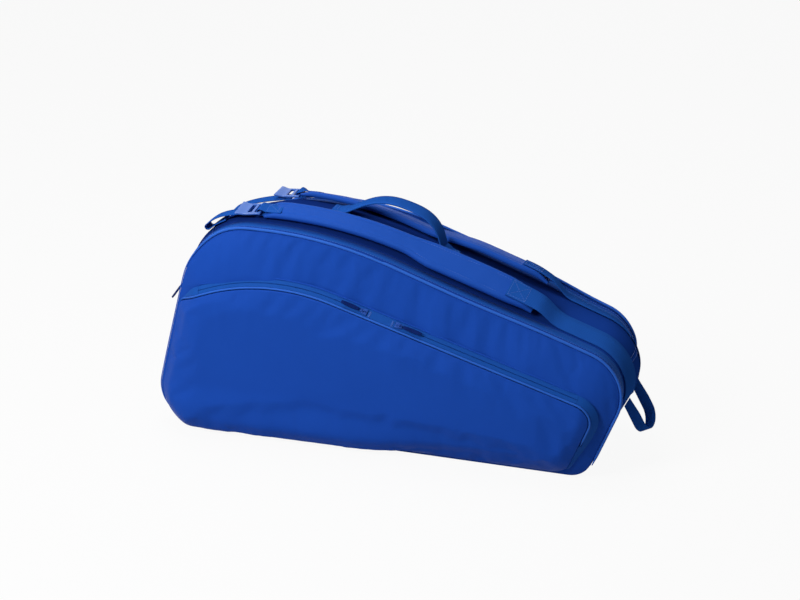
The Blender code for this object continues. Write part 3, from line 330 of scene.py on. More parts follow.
def past(value, start, run):
    """Goes softly from 0 at start to 1 a run further on."""
    return ease((value - start) / run)


def spread(low, high, count):
    """Evenly spaced values from low to high."""
    return [low + (high - low) * i / (count - 1) for i in range(count)]


def outward(direction):
    """The outer side of an edge; outlines run up the head end and along the spine."""
    return Vector((-direction.y, direction.x))


def meet(point, direction, other, heading):
    """Where two lines cross."""
    side = outward(heading)
    return point + direction * ((other - point).dot(side) / direction.dot(side))


def facing(station):
    """The way out of the side outline at a station."""
    return Vector((station.normal.x, 0, station.normal.y))


def corner_at(corners, i):
    """The ways into and out of a corner, the outer side of the first and the centre of its rounding."""
    corner, radius = corners[i]
    arriving = (corner - corners[i - 1][0]).normalized()
    leaving = (corners[(i + 1) % len(corners)][0] - corner).normalized()
    first, last = outward(arriving), outward(leaving)
    return arriving, leaving, first, corner - (first + last) / (1 + first.dot(last)) * radius


def rounded(corners):
    """Stations round an outline, one group for each corner."""
    groups = []
    for i, (_, radius) in enumerate(corners):
        arriving, leaving, first, centre = corner_at(corners, i)
        bend = arriving.angle(leaving)
        normals = [Matrix.Rotation(-bend * k / ARC_STEPS, 2) @ first for k in range(ARC_STEPS + 1)]
        groups.append([Station(centre + n * radius, n) for n in normals])
    return groups


def inset_of(corners, point):
    """How far a point lies in from a rounded outline."""
    depths = []
    for i, (corner, radius) in enumerate(corners):
        arriving, leaving, first, centre = corner_at(corners, i)
        if (point - centre).dot(arriving) > 0 and (point - centre).dot(leaving) < 0:
            depths.append(radius - (point - centre).length)
        depths.append((corner - point).dot(first))
    return min(depths)


class Run:
    """An open run of stations, measured along its length."""

    def __init__(self, stations):
        self.stations = stations[:1]
        self.lengths = [0.0]
        for s in stations[1:]:
            gap = (s.point - self.stations[-1].point).length
            if gap > 1e-7:
                self.stations.append(s)
                self.lengths.append(self.lengths[-1] + gap)

    @property
    def end(self):
        """The whole length."""
        return self.lengths[-1]

    def at(self, distance):
        """The station this far along; past the last one it carries on straight."""
        i = int(np.clip(np.searchsorted(self.lengths, distance), 1, len(self.lengths) - 1))
        share = (distance - self.lengths[i - 1]) / (self.lengths[i] - self.lengths[i - 1])
        a, b = self.stations[i - 1], self.stations[i]
        return Station(a.point.lerp(b.point, share), a.normal.lerp(b.normal, share).normalized())

    def between(self, start, stop, step):
        """Stations from start to stop, about a step apart."""
        count = max(2, math.ceil(abs(stop - start) / step) + 1)
        return [self.at(d) for d in spread(start, stop, count)]

    def crossing(self, axis, value, last=False):
        """The length at which x (axis 0) or z (axis 1) passes value."""
        spans = range(1, len(self.stations))
        for i in reversed(spans) if last else spans:
            a, b = self.stations[i - 1].point[axis], self.stations[i].point[axis]
            if a != b and min(a, b) <= value <= max(a, b):
                share = (value - a) / (b - a)
                return self.lengths[i - 1] + share * (self.lengths[i] - self.lengths[i - 1])
        raise ValueError(f"the run doesn't reach {value}")

    def length_of(self, station):
        """How far along a station of the outline lies."""
        gaps = [(s.point - station.point).length for s in self.stations]
        return self.lengths[gaps.index(min(gaps))]


def traced(corners, count):
    """Places along the lines from corner to corner, count to a line."""
    for a, b in zip(corners, corners[1:]):
        for share in spread(0, 1, count):
            yield [p + (q - p) * share for p, q in zip(a, b)]


def four_edges(groups):
    """Lower, upper, head and tail edge of an outline with five corners."""
    half = ARC_STEPS // 2
    low = groups[0][half::-1] + groups[4][:half - 1:-1]
    high = groups[1][half:] + groups[2] + groups[3][:half + 1]
    head = groups[0][half:] + groups[1][:half + 1]
    tail = groups[4][half::-1] + groups[3][:half - 1:-1]
    return [Run(edge) for edge in (low, high, head, tail)]


def net_between(edges, columns, rows):
    """Points of a four-sided net that fills an outline, row by row from its lower edge."""
    low, high = [[run.at(run.end * i / columns).point for i in range(columns + 1)] for run in edges[:2]]
    head, tail = [[run.at(run.end * j / rows).point for j in range(rows + 1)] for run in edges[2:]]
    net = []
    for j in range(rows + 1):
        v = j / rows
        for i in range(columns + 1):
            u = i / columns
            ruled = (low[0] * (1 - u) + low[-1] * u) * (1 - v) + (high[0] * (1 - u) + high[-1] * u) * v
            net.append(low[i] * (1 - v) + high[i] * v + head[j] * (1 - u) + tail[j] * u - ruled)
    return net


class BagShape:
    """Where the bag's surfaces lie, worked out from the sizes in the sidebar."""

    def __init__(self, scene):
        self.body, self.pocket = scene.bag_body, scene.bag_pocket
        self.straps, self.trim = scene.bag_straps, scene.bag_trim
        b = self.body
        self.corners = [
            (Vector((b.head_low_x, b.seam_lift)), b.head_low_radius),
            (Vector((b.head_top_x, b.top_z)), b.head_top_radius),
            (Vector((b.spine_bend_x, b.top_z)), b.spine_radius),
            (Vector((b.tail_top_x, b.tail_top_z)), b.tail_top_radius),
            (Vector((b.tail_low_x, b.seam_lift)), b.tail_low_radius)]
        self.groups = rounded(self.corners)
        self.rim = Run([s for group in self.groups for s in group])
        self.gusset_half = b.zip_y - b.zip_half - GAP
        self.pocket_outline = self.pocket_corners()
        self.pocket_groups = rounded(self.pocket_outline)
        groups = self.pocket_groups
        self.pocket_top = Run(groups[1][ARC_STEPS // 2:] + groups[2] + groups[3]
                              + groups[4][:ARC_STEPS // 3])
        p = self.pocket
        self.cord_at = (p.piping + GAP) / math.cos(p.shelf)
        self.tape_at = self.cord_at + p.piping + GAP
        self.zip_middle = self.tape_at + p.tape + TOOTH_SPAN

    def crown_at(self, y, z):
        """How far the gusset rises out of its edges' plane."""
        grown = ease((z - self.body.seam_lift) / self.body.crown_reach)
        return self.body.crown * grown * (1 - (y / self.gusset_half) ** 2)

    def bulge_at(self, point):
        """How far a padded side stands out of its seam plane."""
        inset = inset_of(self.corners, point)
        share = min(max(inset, 0.0) / self.body.bulge_reach, 1.0)
        return self.body.bulge * math.sin(share * math.pi / 2)

    def welt_at(self, point):
        """Thickness of the piping as a share: full over the spine and the tail, thin down the head end."""
        if point.x > 0:
            return 1.0
        return WELT_THIN + (1 - WELT_THIN) * past(point.y, self.body.top_z * 0.75, 0.09)

    def over(self, station, y, lift):
        """A point over the side outline."""
        flat = station.point + station.normal * lift
        return self.slump(flat.x, y, flat.y)

    def slump(self, x, y, z):
        """A point of the bag after its rear half has settled, with what has sunk elsewhere."""
        b = self.body
        share = min(max((y - b.slump_y) / (b.seam_y - b.slump_y), 0.0), 1.0)
        sunk = ease((b.slump_x - x) / (b.slump_x - b.head_top_x))
        drop = b.slump_drop * sunk * ease((z - b.slump_foot) / (b.top_z - b.slump_foot))
        drawn = ease((x - b.slump_tail) / (b.tail_top_x - b.slump_tail)) * ease(z / (b.tail_top_z * 0.7))
        drop += b.tail_sink * past(x, *TAIL_SUNK[0]) * past(z, *TAIL_SUNK[1])
        return Vector((x - share * b.slump_draw * drawn, y, z - share * drop)) + self.sunk(x, y, z)

    def sunk(self, x, y, z):
        """How far the cloth has sunk at the front's upper edge, its head corner and the spine behind that."""
        b = self.body
        dent = b.dent * past(-x, *DENT_X) * past(y, *DENT_Y) * past(z, *DENT_Z)
        front = min(max(-y / b.seam_y, 0.0), 1.0)
        settled = b.front_drop * past(z, *FRONT_Z) * (1 - past(x, *FRONT_X))
        rim = b.zip_y + b.zip_half
        near = b.tuck * math.exp(-((x - TUCK_X) ** 2 + (z - TUCK_Z) ** 2) / TUCK_REACH ** 2)
        near *= min(max((-y - rim) / (b.seam_y - rim), 0.0), 1.0)
        return Vector((near * TUCK_BACK, 0, -dent - front * settled - near * TUCK_DOWN))

    def pocket_corners(self):
        """The pocket's outline: three edges follow the side and the top is an arch."""
        p = self.pocket
        low = self.corners[0][0] + Vector((0, p.margin))
        along = Vector((1, 0))
        head_way = (self.corners[1][0] - self.corners[0][0]).normalized()
        head = self.corners[0][0] - outward(head_way) * p.margin
        tail_way = (self.corners[4][0] - self.corners[3][0]).normalized()
        tail = self.corners[3][0] - outward(tail_way) * p.tail_margin
        climb = Vector((math.cos(p.climb), math.sin(p.climb)))
        fall = Vector((math.cos(p.fall), -math.sin(p.fall)))
        shoulder = meet(head, head_way, Vector((0, p.head_z)), along)
        middle = Vector((0, p.mid_z))
        return [(meet(head, head_way, low, along), self.body.head_low_radius - p.margin),
                (shoulder, p.head_radius),
                (meet(shoulder, climb, middle, fall), p.arch_radius),
                (meet(middle, fall, tail, tail_way), p.tail_radius),
                (meet(tail, tail_way, low, along), p.low_radius)]

    def hem_at(self, point):
        """How far the pocket's edge stands off the side: low where sewn, high along the zip."""
        p, outline = self.pocket, self.pocket_outline
        head_way = (outline[1][0] - outline[0][0]).normalized()
        from_head = (outline[0][0] - point).dot(outward(head_way))
        from_base = point.y - outline[0][0].y
        return p.hem + (p.rise - p.hem) * ease(from_head / p.fade_head) * ease(from_base / p.fade_base)

    def pocket_edge_y(self, station):
        """Depth of the pocket's edge at a station of its outline."""
        height = self.hem_at(station.point)
        foot = station.point + station.normal * (height / math.tan(self.pocket.shelf))
        return -(self.body.seam_y + max(self.bulge_at(station.point), self.bulge_at(foot)) + height)

    def pocket_depth(self, point):
        """Depth of the pocket's padded face over the bag's middle plane."""
        p = self.pocket
        share = min(max(inset_of(self.pocket_outline, point), 0.0) / p.reach, 1.0)
        hem = self.hem_at(point)
        swell = hem * (1 - share) + p.swell * math.sin(share * math.pi / 2)
        return self.body.seam_y + self.bulge_at(point) + min(max(swell, hem), max(p.swell, p.rise))

    def belly_at(self, co):
        """How far a point of the pocket has sagged forwards and down on to the floor."""
        p = self.pocket
        along = past(co.x - self.corners[0][0].x, *SAG_HEAD) * (1 - past(co.x, p.sag_x, p.sag_run))
        up = (co.z - self.pocket_outline[0][0].y) / p.sag_height
        share = along * ease(up / SAG_LOW) * (1 - past(up, SAG_LOW, 1 - SAG_LOW))
        return Vector((0, -p.sag_front * share, -p.sag_drop * share))

    def on_shelf(self, station, along, lift):
        """A point of the sloping zip shelf, measured from the pocket's edge towards the side."""
        c, s = math.cos(self.pocket.shelf), math.sin(self.pocket.shelf)
        flat = station.point + station.normal * (along * c + lift * s)
        return Vector((flat.x, self.pocket_edge_y(station) + along * s - lift * c, flat.y))

    def shelf_ways(self, station, along):
        """A point of the zip shelf with the ways across it and up from it."""
        point = self.on_shelf(station, along, 0)
        across = self.on_shelf(station, along + 1.0, 0) - point
        return point, across, self.on_shelf(station, along, 1.0) - point

    def shelf_end(self, station, wall):
        """How far the shelf runs before it meets the side."""
        spare = self.hem_at(station.point) - GAP - wall / 2 * math.cos(self.pocket.shelf)
        return spare / math.sin(self.pocket.shelf)

    def on_strap(self, station, side, across, height):
        """A point of a strap: across towards its own zip, height over its underside."""
        t, z = self.straps, station.point.y
        tilt = math.atan(2 * self.crown_at(0, z) * t.middle_y / self.gusset_half ** 2)
        run = (station.point.x - self.body.head_top_x) / (t.hinge_x - self.body.head_top_x)
        run = min(max(run, 0.0), 1.0)
        if side > 0:
            bow = t.bow * math.sin(math.pi * min(run / REAR_BOW, 1.0))
            bow += t.rear_rise * past(run, *REAR_RISE[0]) * (1 - past(run, *REAR_RISE[1]))
        else:
            lifted = math.sin(math.pi * run ** 3)
            bow = t.bow * math.sin(math.pi * run) + t.front_rise * lifted
            tilt += t.front_twist * lifted
        clear = self.trim.tooth_height / 2 + GAP + (t.width / 2 - STRAP_ROUND) * math.sin(tilt)
        seat = max(self.crown_at(t.middle_y, z) + GAP, clear) + bow
        y = t.middle_y + across * math.cos(tilt) + height * math.sin(tilt)
        return self.over(station, side * y, seat - across * math.sin(tilt) + height * math.cos(tilt))

    def strap_ways(self, station, side, across, height):
        """A point of a strap with the ways across it and up from it."""
        point = self.on_strap(station, side, across, height)
        wider = self.on_strap(station, side, across + PROBE, height)
        higher = self.on_strap(station, side, across, height + PROBE)
        return point, (wider - point).normalized(), (higher - point).normalized()

    def strap_head(self, side):
        """How far along the outline a strap's head end lies."""
        return self.rim.crossing(0, self.straps.front_head_x if side < 0 else self.straps.rear_head_x)

    def on_spine(self, station, lift, y=0):
        """A point over the crown of the gusset, in its middle or y aside of it."""
        return self.over(station, y, self.crown_at(0, station.point.y) + lift)


def cloth_object(name, verts, faces, uvs):
    """A new mesh object with a UV map in metres that follows its cloth."""
    mesh = bpy.data.meshes.new(name)
    mesh.from_pydata([tuple(v) for v in verts], [], faces)
    corners = np.empty(len(mesh.loops), dtype=np.int32)
    mesh.loops.foreach_get("vertex_index", corners)
    layer = mesh.uv_layers.new(name="cloth")
    layer.uv.foreach_set("vector", np.array(uvs, dtype=np.float32)[corners].ravel())
    mesh.shade_smooth()
    made = bpy.data.objects.new(name, mesh)
    bpy.context.scene.collection.objects.link(made)
    return made


def grid_faces(columns, rows, flip=False):
    """Quads of a net of points with this many columns and rows of spans."""
    wide = columns + 1
    quads = []
    for j in range(rows):
        for i in range(columns):
            quad = (j * wide + i, j * wide + i + 1, (j + 1) * wide + i + 1, (j + 1) * wide + i)
            quads.append(quad[::-1] if flip else quad)
    return quads


def measured(points):
    """Running length along points."""
    total = [0.0]
    for a, b in zip(points, points[1:]):
        total.append(total[-1] + (b - a).length)
    return total


def strip(name, rings):
    """A closed solid through section rings, with its UV along and across it."""
    count = len(rings[0])
    along = measured([sum(ring, Vector()) / count for ring in rings])
    across = measured(rings[0])
    faces = []
    for i in range(len(rings) - 1):
        for k in range(count):
            j = (k + 1) % count
            faces.append((i * count + k, i * count + j, (i + 1) * count + j, (i + 1) * count + k))
    faces.append(tuple(range(count)))
    faces.append(tuple((len(rings) - 1) * count + k for k in reversed(range(count))))
    uvs = [(across[k], along[i]) for i in range(len(rings)) for k in range(count)]
    made = cloth_object(name, [p for ring in rings for p in ring], faces, uvs)
    bm = bmesh.new()
    bm.from_mesh(made.data)
    bmesh.ops.recalc_face_normals(bm, faces=bm.faces)
    bm.to_mesh(made.data)
    bm.free()
    made.data.set_sharp_from_angle(angle=CREASE)
    return made


def flat_section(width, wall):
    """A webbing's section: flat with soft edges, as (across, height) from its middle."""
    half, top, soft = width / 2, wall / 2, wall * 0.35
    under = [(-half + soft, -top), (-width / 6, -top), (width / 6, -top), (half - soft, -top),
             (half, -top + soft), (half, top - soft)]
    return under + [(-a, -h) for a, h in under]


def webbing_along(name, centres, across, width, wall, ups=None):
    """A flat webbing through centres; its across direction is one for all or one for each centre."""
    across = across if isinstance(across, list) else [across] * len(centres)
    rings = []
    for i, (centre, side) in enumerate(zip(centres, across)):
        way = centres[min(i + 1, len(centres) - 1)] - centres[max(i - 1, 0)]
        up = ups[i] if ups else way.cross(side).normalized()
        rings.append([centre + side * a + up * h for a, h in flat_section(width, wall)])
    return strip(name, rings)


def cord_along(name, centres, ways, radii):
    """A round cord through centres, its ends drawn in; ways point away from the cloth it is sewn to."""
    turns = [k * math.tau / CORD_SIDES - math.pi for k in range(CORD_SIDES)]
    rings = []
    for i, (c, way, radius) in enumerate(zip(centres, ways, radii)):
        r = radius * min(1.0, 0.3 + 0.2 * min(i, len(centres) - 1 - i))
        rings.append([c + way * (r * math.cos(a)) + Y_AXIS * (r * math.sin(a)) for a in turns])
    return strip(name, rings)


def bare_stage():
    """Leaves nothing selected and no object in edit mode."""
    if bpy.context.object and bpy.context.object.mode != "OBJECT":
        bpy.ops.object.mode_set(mode="OBJECT")
    bpy.ops.object.select_all(action="DESELECT")


def take(piece):
    """Makes a piece the only selected and active one."""
    bare_stage()
    piece.select_set(True)
    bpy.context.view_layer.objects.active = piece


def apply_modifiers(piece):
    """Applies all modifiers of a piece in order."""
    take(piece)
    for name in [m.name for m in piece.modifiers]:
        bpy.ops.object.modifier_apply(modifier=name)


def edit(operation, **settings):
    """Runs a mesh operator on all of the active piece."""
    bpy.ops.object.mode_set(mode="EDIT")
    bpy.ops.mesh.select_all(action="SELECT")
    operation(**settings)
    bpy.ops.object.mode_set(mode="OBJECT")


def sized(*size):
    """Scales the active piece and keeps its new size and place in its mesh."""
    bpy.ops.transform.resize(value=size)
    bpy.ops.object.transform_apply()
    return bpy.context.object


def block(size, location):
    """A new box."""
    bare_stage()
    bpy.ops.mesh.primitive_cube_add(size=1.0, location=location)
    return sized(*size)


def ring_of(radius, wire, steps, location, rotation=(0, 0, 0)):
    """A new ring of round wire."""
    bare_stage()
    bpy.ops.mesh.primitive_torus_add(major_radius=radius, minor_radius=wire, major_segments=steps,
                                     minor_segments=10, location=location, rotation=rotation)
    return bpy.context.object


def soften(piece, width, sharp=30):
    """Rounds off the edges of a piece that turn by more than sharp degrees."""
    bevel = piece.modifiers.new("edge", "BEVEL")
    bevel.width = width
    bevel.segments = 3
    bevel.limit_method = "ANGLE"
    bevel.angle_limit = math.radians(sharp)
    apply_modifiers(piece)


def thicken(piece, wall, lining=None):
    """Gives an open cloth its thickness on the inner side, which may take a lining."""
    solid = piece.modifiers.new("wall", "SOLIDIFY")
    solid.thickness = wall
    solid.offset = -1.0
    solid.use_even_offset = True
    if lining:
        piece.data.materials.append(lining)
        solid.material_offset = 1
    apply_modifiers(piece)


def finer(piece):
    """Subdivides a settled cloth once."""
    sub = piece.modifiers.new("finer", "SUBSURF")
    sub.levels = sub.render_levels = 1
    sub.boundary_smooth = "PRESERVE_CORNERS"
    apply_modifiers(piece)


def push(piece, amount):
    """Moves each point of a cloth along its normal by amount(point)."""
    normals = [v.normal.copy() for v in piece.data.vertices]
    for vert, normal in zip(piece.data.vertices, normals):
        vert.co += normal * amount(vert.co)
    piece.data.update()


def settle(piece, inset, pressure):
    """Lets a cloth swell and wrinkle between its seams by simulation, and caps how far it moves."""
    scene = bpy.context.scene
    rest = np.array([v.co[:] for v in piece.data.vertices])
    pins = piece.vertex_groups.new(name="seam")
    for vert in piece.data.vertices:
        if inset(vert.co) < SEAM_PIN:
            pins.add([vert.index], 1.0, "REPLACE")
    cloth = piece.modifiers.new("swell", "CLOTH")
    s = cloth.settings
    s.quality = 6
    s.mass = 0.25
    s.tension_stiffness = s.compression_stiffness = 18
    s.shear_stiffness = 8
    s.bending_stiffness = 3.0
    s.vertex_group_mass = "seam"
    s.use_pressure = True
    s.uniform_pressure_force = pressure
    s.effector_weights.gravity = 0
    s.shrink_min = s.shrink_max = -CLOTH_SLACK
    cloth.point_cache.frame_start, cloth.point_cache.frame_end = 1, CLOTH_FRAMES
    for step in range(1, CLOTH_FRAMES + 1):
        scene.frame_set(step)
    apply_modifiers(piece)
    scene.frame_set(1)
    moved = np.array([v.co[:] for v in piece.data.vertices]) - rest
    far = np.linalg.norm(moved, axis=1, keepdims=True)
    kept = rest + moved * np.minimum(1.0, CLOTH_CAP / np.maximum(far, 1e-9))
    piece.data.vertices.foreach_set("co", kept.ravel())
    piece.data.update()
    piece.vertex_groups.clear()


def beads(name, spots, size, sides=6):
    """A row of small rounded beads, such as stitches or zip teeth, in one mesh.

    Size is (along, across, height) of one bead.
    """
    bare_stage()
    bpy.ops.mesh.primitive_uv_sphere_add(segments=sides, ring_count=4, radius=0.5,
                                         rotation=(0, math.pi / 2, 0))
    first = bpy.context.object
    bpy.ops.object.transform_apply()
    shape = np.array([v.co[:] for v in first.data.vertices])
    shape[:, 0] = np.sign(shape[:, 0]) * np.sqrt(np.abs(shape[:, 0]) / 2)
    shape *= np.array(size)
    polygons = [tuple(p.vertices) for p in first.data.polygons]
    sphere = first.data
    bpy.data.objects.remove(first)
    bpy.data.meshes.remove(sphere)
    verts, faces, uvs = [], [], []
    for i, spot in enumerate(spots):
        across = spot.up.cross(spot.along).normalized()
        up = spot.along.cross(across).normalized()
        turned = np.array([spot.along.normalized()[:], across[:], up[:]])
        verts.extend((shape @ turned + np.array(spot.centre[:])).tolist())
        faces.extend(tuple(v + i * len(shape) for v in polygon) for polygon in polygons)
        uvs.extend((x[0] + i * size[0], x[1]) for x in shape)
    return cloth_object(name, verts, faces, uvs)


def sewn(trim, points, ups):
    """Spots of the stitches along a sewn line."""
    total = measured(points)
    pitch = trim.stitch + trim.stitch_gap
    count = max(1, int(total[-1] / pitch))
    spots = []
    for k in range(count):
        place = (k + 0.5) * total[-1] / count
        i = int(np.clip(np.searchsorted(total, place), 1, len(total) - 1))
        share = (place - total[i - 1]) / max(total[i] - total[i - 1], 1e-9)
        along = (points[i] - points[i - 1]).normalized()
        spots.append(Spot(points[i - 1].lerp(points[i], share), along, ups[i - 1].lerp(ups[i], share)))
    return spots


def add_node(tree, kind, inputs=(), **settings):
    """A node with its settings and its inputs set or linked."""
    node = tree.nodes.new(kind)
    for key, value in settings.items():
        setattr(node, key, value)
    for key, value in dict(inputs).items():
        if isinstance(value, bpy.types.NodeSocket):
            tree.links.new(value, node.inputs[key])
        else:
            node.inputs[key].default_value = value
    return node


class Finish:
    """A procedural finish while its nodes are put together."""

    def __init__(self, name, roughness, sheen=0.0, sheen_tint=(1, 1, 1), metallic=0.0, specular=0.5):
        self.material = bpy.data.materials.new(name)
        self.material.use_nodes = True
        self.tree = self.material.node_tree
        self.shader = self.tree.nodes["Principled BSDF"]
        for key, value in {"Roughness": roughness, "Sheen Weight": sheen, "Sheen Roughness": 0.45,
                           "Sheen Tint": (*sheen_tint, 1.0), "Metallic": metallic,
                           "Specular IOR Level": specular}.items():
            self.shader.inputs[key].default_value = value

    def add(self, kind, inputs=(), **settings):
        """A new node of the finish."""
        return add_node(self.tree, kind, inputs, **settings)

    def cloth_uv(self):
        """Metres along and across the cloth."""
        return self.add("ShaderNodeUVMap", uv_map="cloth").outputs["UV"]

    def place(self):
        """Metres in the bag's own frame."""
        return self.add("ShaderNodeTexCoord").outputs["Object"]

    def ribs(self, vector, pitch, direction, distortion=0.0):
        """Even ridges at a pitch in metres."""
        wave = self.add("ShaderNodeTexWave", {"Vector": vector, "Scale": math.tau / 20 / pitch,
                                              "Distortion": distortion, "Detail": 1.0},
                        wave_type="BANDS", bands_direction=direction, wave_profile="SIN")
        return wave.outputs["Fac"]

    def cloud(self, vector, scale, detail=3.0, roughness=0.55):
        """Soft irregular patches."""
        made = self.add("ShaderNodeTexNoise", {"Vector": vector, "Scale": scale, "Detail": detail,
                                               "Roughness": roughness})
        return made.outputs["Fac"]

    def calc(self, operation, a, b=0.0, c=0.0):
        """One step of arithmetic."""
        return self.add("ShaderNodeMath", {0: a, 1: b, 2: c}, operation=operation).outputs[0]

    def mapped(self, value, low, high):
        """A value from 0 to 1 brought between low and high."""
        return self.add("ShaderNodeMapRange", {0: value, 1: 0.0, 2: 1.0, 3: low, 4: high}).outputs[0]

    def faded(self, value, start, stop):
        """Falls softly from 1 at start to 0 at stop."""
        return self.add("ShaderNodeMapRange", {0: value, 1: start, 2: stop, 3: 1.0, 4: 0.0},
                        interpolation_type="SMOOTHSTEP").outputs[0]

    def mixed(self, factor, a, b):
        """A colour between two others."""
        return self.add("ShaderNodeMix", {0: factor, 6: a, 7: b}, data_type="RGBA").outputs[2]

    def done(self, colour, height, depth, strength, rough=None):
        """Links colour, bump and roughness to the shader."""
        self.tree.links.new(colour, self.shader.inputs["Base Color"])
        bump = self.add("ShaderNodeBump", {"Height": height, "Distance": depth, "Strength": strength})
        self.tree.links.new(bump.outputs["Normal"], self.shader.inputs["Normal"])
        if rough is not None:
            self.tree.links.new(rough, self.shader.inputs["Roughness"])
        return self.material


def shade(colour, factor):
    """A colour made lighter or darker, as a shader value."""
    return (*[min(1.0, c * factor) for c in colour], 1.0)


def woven_cloth(name, colour, pitch, roughness, sheen, ribbed=False, painted_shade=None, specular=0.05):
    """Coated polyester: crossing threads with a painted highlight, faint patches, rubbed spots, painted shade
    by the straps.
    """
    f = Finish(name, roughness, sheen, sheen_tint=(0.3, 0.5, 1.0), specular=specular)
    uv, place = f.cloth_uv(), f.place()
    warp = f.ribs(uv, pitch, "X", 0.4)
    weft = f.ribs(uv, pitch * (2.2 if ribbed else 1.0), "Y", 0.4)
    weave = weft if ribbed else f.calc("MULTIPLY", warp, weft)
    weave = f.calc("ADD", weave, f.calc("MULTIPLY", warp, 0.35))
    patches = f.cloud(place, 9.0, 4.0)
    grain = f.cloud(place, 240.0, 2.0)
    toned = f.mixed(f.mapped(patches, 0.15, 0.85), shade(colour, 0.90), shade(colour, 1.10))
    # Painted shade: between and beside the straps the cloth turns to the spine colour, fading out towards the
    # tail.
    if painted_shade:
        axes = f.add("ShaderNodeSeparateXYZ", {0: place}).outputs
        inner = f.faded(f.calc("ABSOLUTE", axes["Y"]), *PAINTED_SHADE_ACROSS)
        toned = f.mixed(f.calc("MULTIPLY", inner, f.faded(axes["X"], *PAINTED_SHADE_ALONG)), toned, shade(painted_shade, 1.0))
    # Painted highlight: the weave's raised threads are drawn lighter.
    threads = f.mixed(f.calc("MULTIPLY", weave, 0.2), toned, shade(colour, 1.3))
    height = f.calc("ADD", weave, f.calc("MULTIPLY", grain, 0.6))
    rough = f.mapped(f.calc("MULTIPLY", patches, grain), roughness - 0.06, roughness + 0.16)
    return f.done(threads, height, pitch * 0.35, 0.35, rough)


def webbing_weave(name, colour):
    """Woven webbing: ribs along it crossed by slanting picks, with painted shade in the hollows."""
    f = Finish(name, 0.62, 0.02, sheen_tint=(0.3, 0.5, 1.0), specular=0.0)
    uv, place = f.cloth_uv(), f.place()
    ribs = f.ribs(uv, 0.0026, "X")
    picks = f.ribs(uv, 0.0017, "DIAGONAL", 0.6)
    weave = f.calc("ADD", f.calc("MULTIPLY", ribs, 0.6), f.calc("MULTIPLY", picks, 0.55))
    patches = f.cloud(place, 22.0, 4.0)
    toned = f.mixed(f.mapped(patches, 0.2, 0.8), shade(colour, 0.84), shade(colour, 1.16))
    # Painted shade: the weave's hollows are drawn darker.
    threads = f.mixed(f.mapped(weave, 0.75, 0.0), toned, shade(colour, 0.42))
    fuzz = f.cloud(place, 700.0, 2.0)
    height = f.calc("ADD", weave, f.calc("MULTIPLY", fuzz, 0.25))
    return f.done(threads, height, 0.0005, 0.6, f.mapped(fuzz, 0.55, 0.75))


def moulded(name, colour, roughness, grain_scale, metallic=0.0, chips=0.0, specular=0.15):
    """Moulded plastic, rubber or painted metal: fine grain, faint patches and rubbed spots."""
    f = Finish(name, roughness, metallic=metallic, specular=specular)
    place = f.place()
    grain = f.cloud(place, grain_scale, 3.0)
    patches = f.cloud(place, 60.0, 4.0)
    toned = f.mixed(f.mapped(patches, 0.1, 0.9), shade(colour, 0.85), shade(colour, 1.15))
    worn = f.calc("MULTIPLY", f.calc("GREATER_THAN", f.cloud(place, 420.0, 5.0, 0.7), 0.66), chips)
    surface = f.mixed(worn, toned, shade(colour, 2.2))
    return f.done(surface, grain, 0.0001, 0.4, f.mapped(grain, roughness - 0.08, roughness + 0.1))


def twisted_thread(name, colour):
    """Sewing thread: a slanting twist along each stitch."""
    f = Finish(name, 0.55, 0.04)
    uv = f.cloth_uv()
    twist = f.ribs(uv, 0.0007, "DIAGONAL", 0.3)
    toned = f.mixed(twist, shade(colour, 0.8), shade(colour, 1.15))
    return f.done(toned, twist, 0.0001, 0.5)


def finish(name):
    """The named finish, made the first time it is asked for."""
    if name in bpy.data.materials:
        return bpy.data.materials[name]
    c = bpy.context.scene.bag_colours
    recipes = {
        "coated_side_cloth": lambda: woven_cloth(name, c.panel, 0.0007, 0.46, 0.0, specular=0.02),
        # The gusset takes the spine colour as painted shade between and beside the straps.
        "ribbed_gusset_cloth": lambda: woven_cloth(name, c.gusset, 0.0010, 0.58, 0.0, True, c.spine, 0.0),
        "base_board_cloth": lambda: woven_cloth(name, c.base, 0.0010, 0.6, 0.0, specular=0.0),
        "inner_lining": lambda: woven_cloth(name, c.lining, 0.0006, 0.6, 0.1),
        "strap_cover": lambda: woven_cloth(name, c.strap, 0.0008, 0.5, 0.04),
        "edge_binding": lambda: woven_cloth(name, c.piping, 0.0006, 0.45, 0.06, ribbed=True),
        "bag_webbing": lambda: webbing_weave(name, c.webbing),
        # The main zips' tapes take the spine colour as painted shade beside the straps.
        "zip_tape_weave": lambda: woven_cloth(name, c.tape, 0.0005, 0.5, 0.04, True, c.spine, 0.02),
        "zip_tooth_plastic": lambda: moulded(name, c.teeth, 0.4, 1500.0, specular=0.02),
        "lock_plastic_grained": lambda: moulded(name, c.lock, 0.34, 1200.0, chips=0.2, specular=0.5),
        "slider_paint": lambda: moulded(name, c.slider, 0.34, 1400.0, metallic=0.2, chips=0.4, specular=0.1),
        "pull_rubber_grained": lambda: moulded(name, c.pull, 0.5, 900.0, specular=0.03),
        "sewing_thread": lambda: twisted_thread(name, c.thread),
    }
    return recipes[name]()


def hand_over(piece, finish_name, slot, body, *nodes):
    """Gives a piece its finish and the body it rides on, and hides the nodes it stands for."""
    if not piece.data.materials:
        piece.data.materials.append(finish(finish_name))
    if body:
        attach(piece, body)
    if nodes:
        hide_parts(*nodes)


def stitched(name, trim, spots, slot, body, height=0.8):
    """Stitches on spots; their height is a share of the thread's thickness."""
    seam = beads(name, spots, (trim.stitch, trim.thread, trim.thread * height))
    hand_over(seam, "sewing_thread", slot, body)


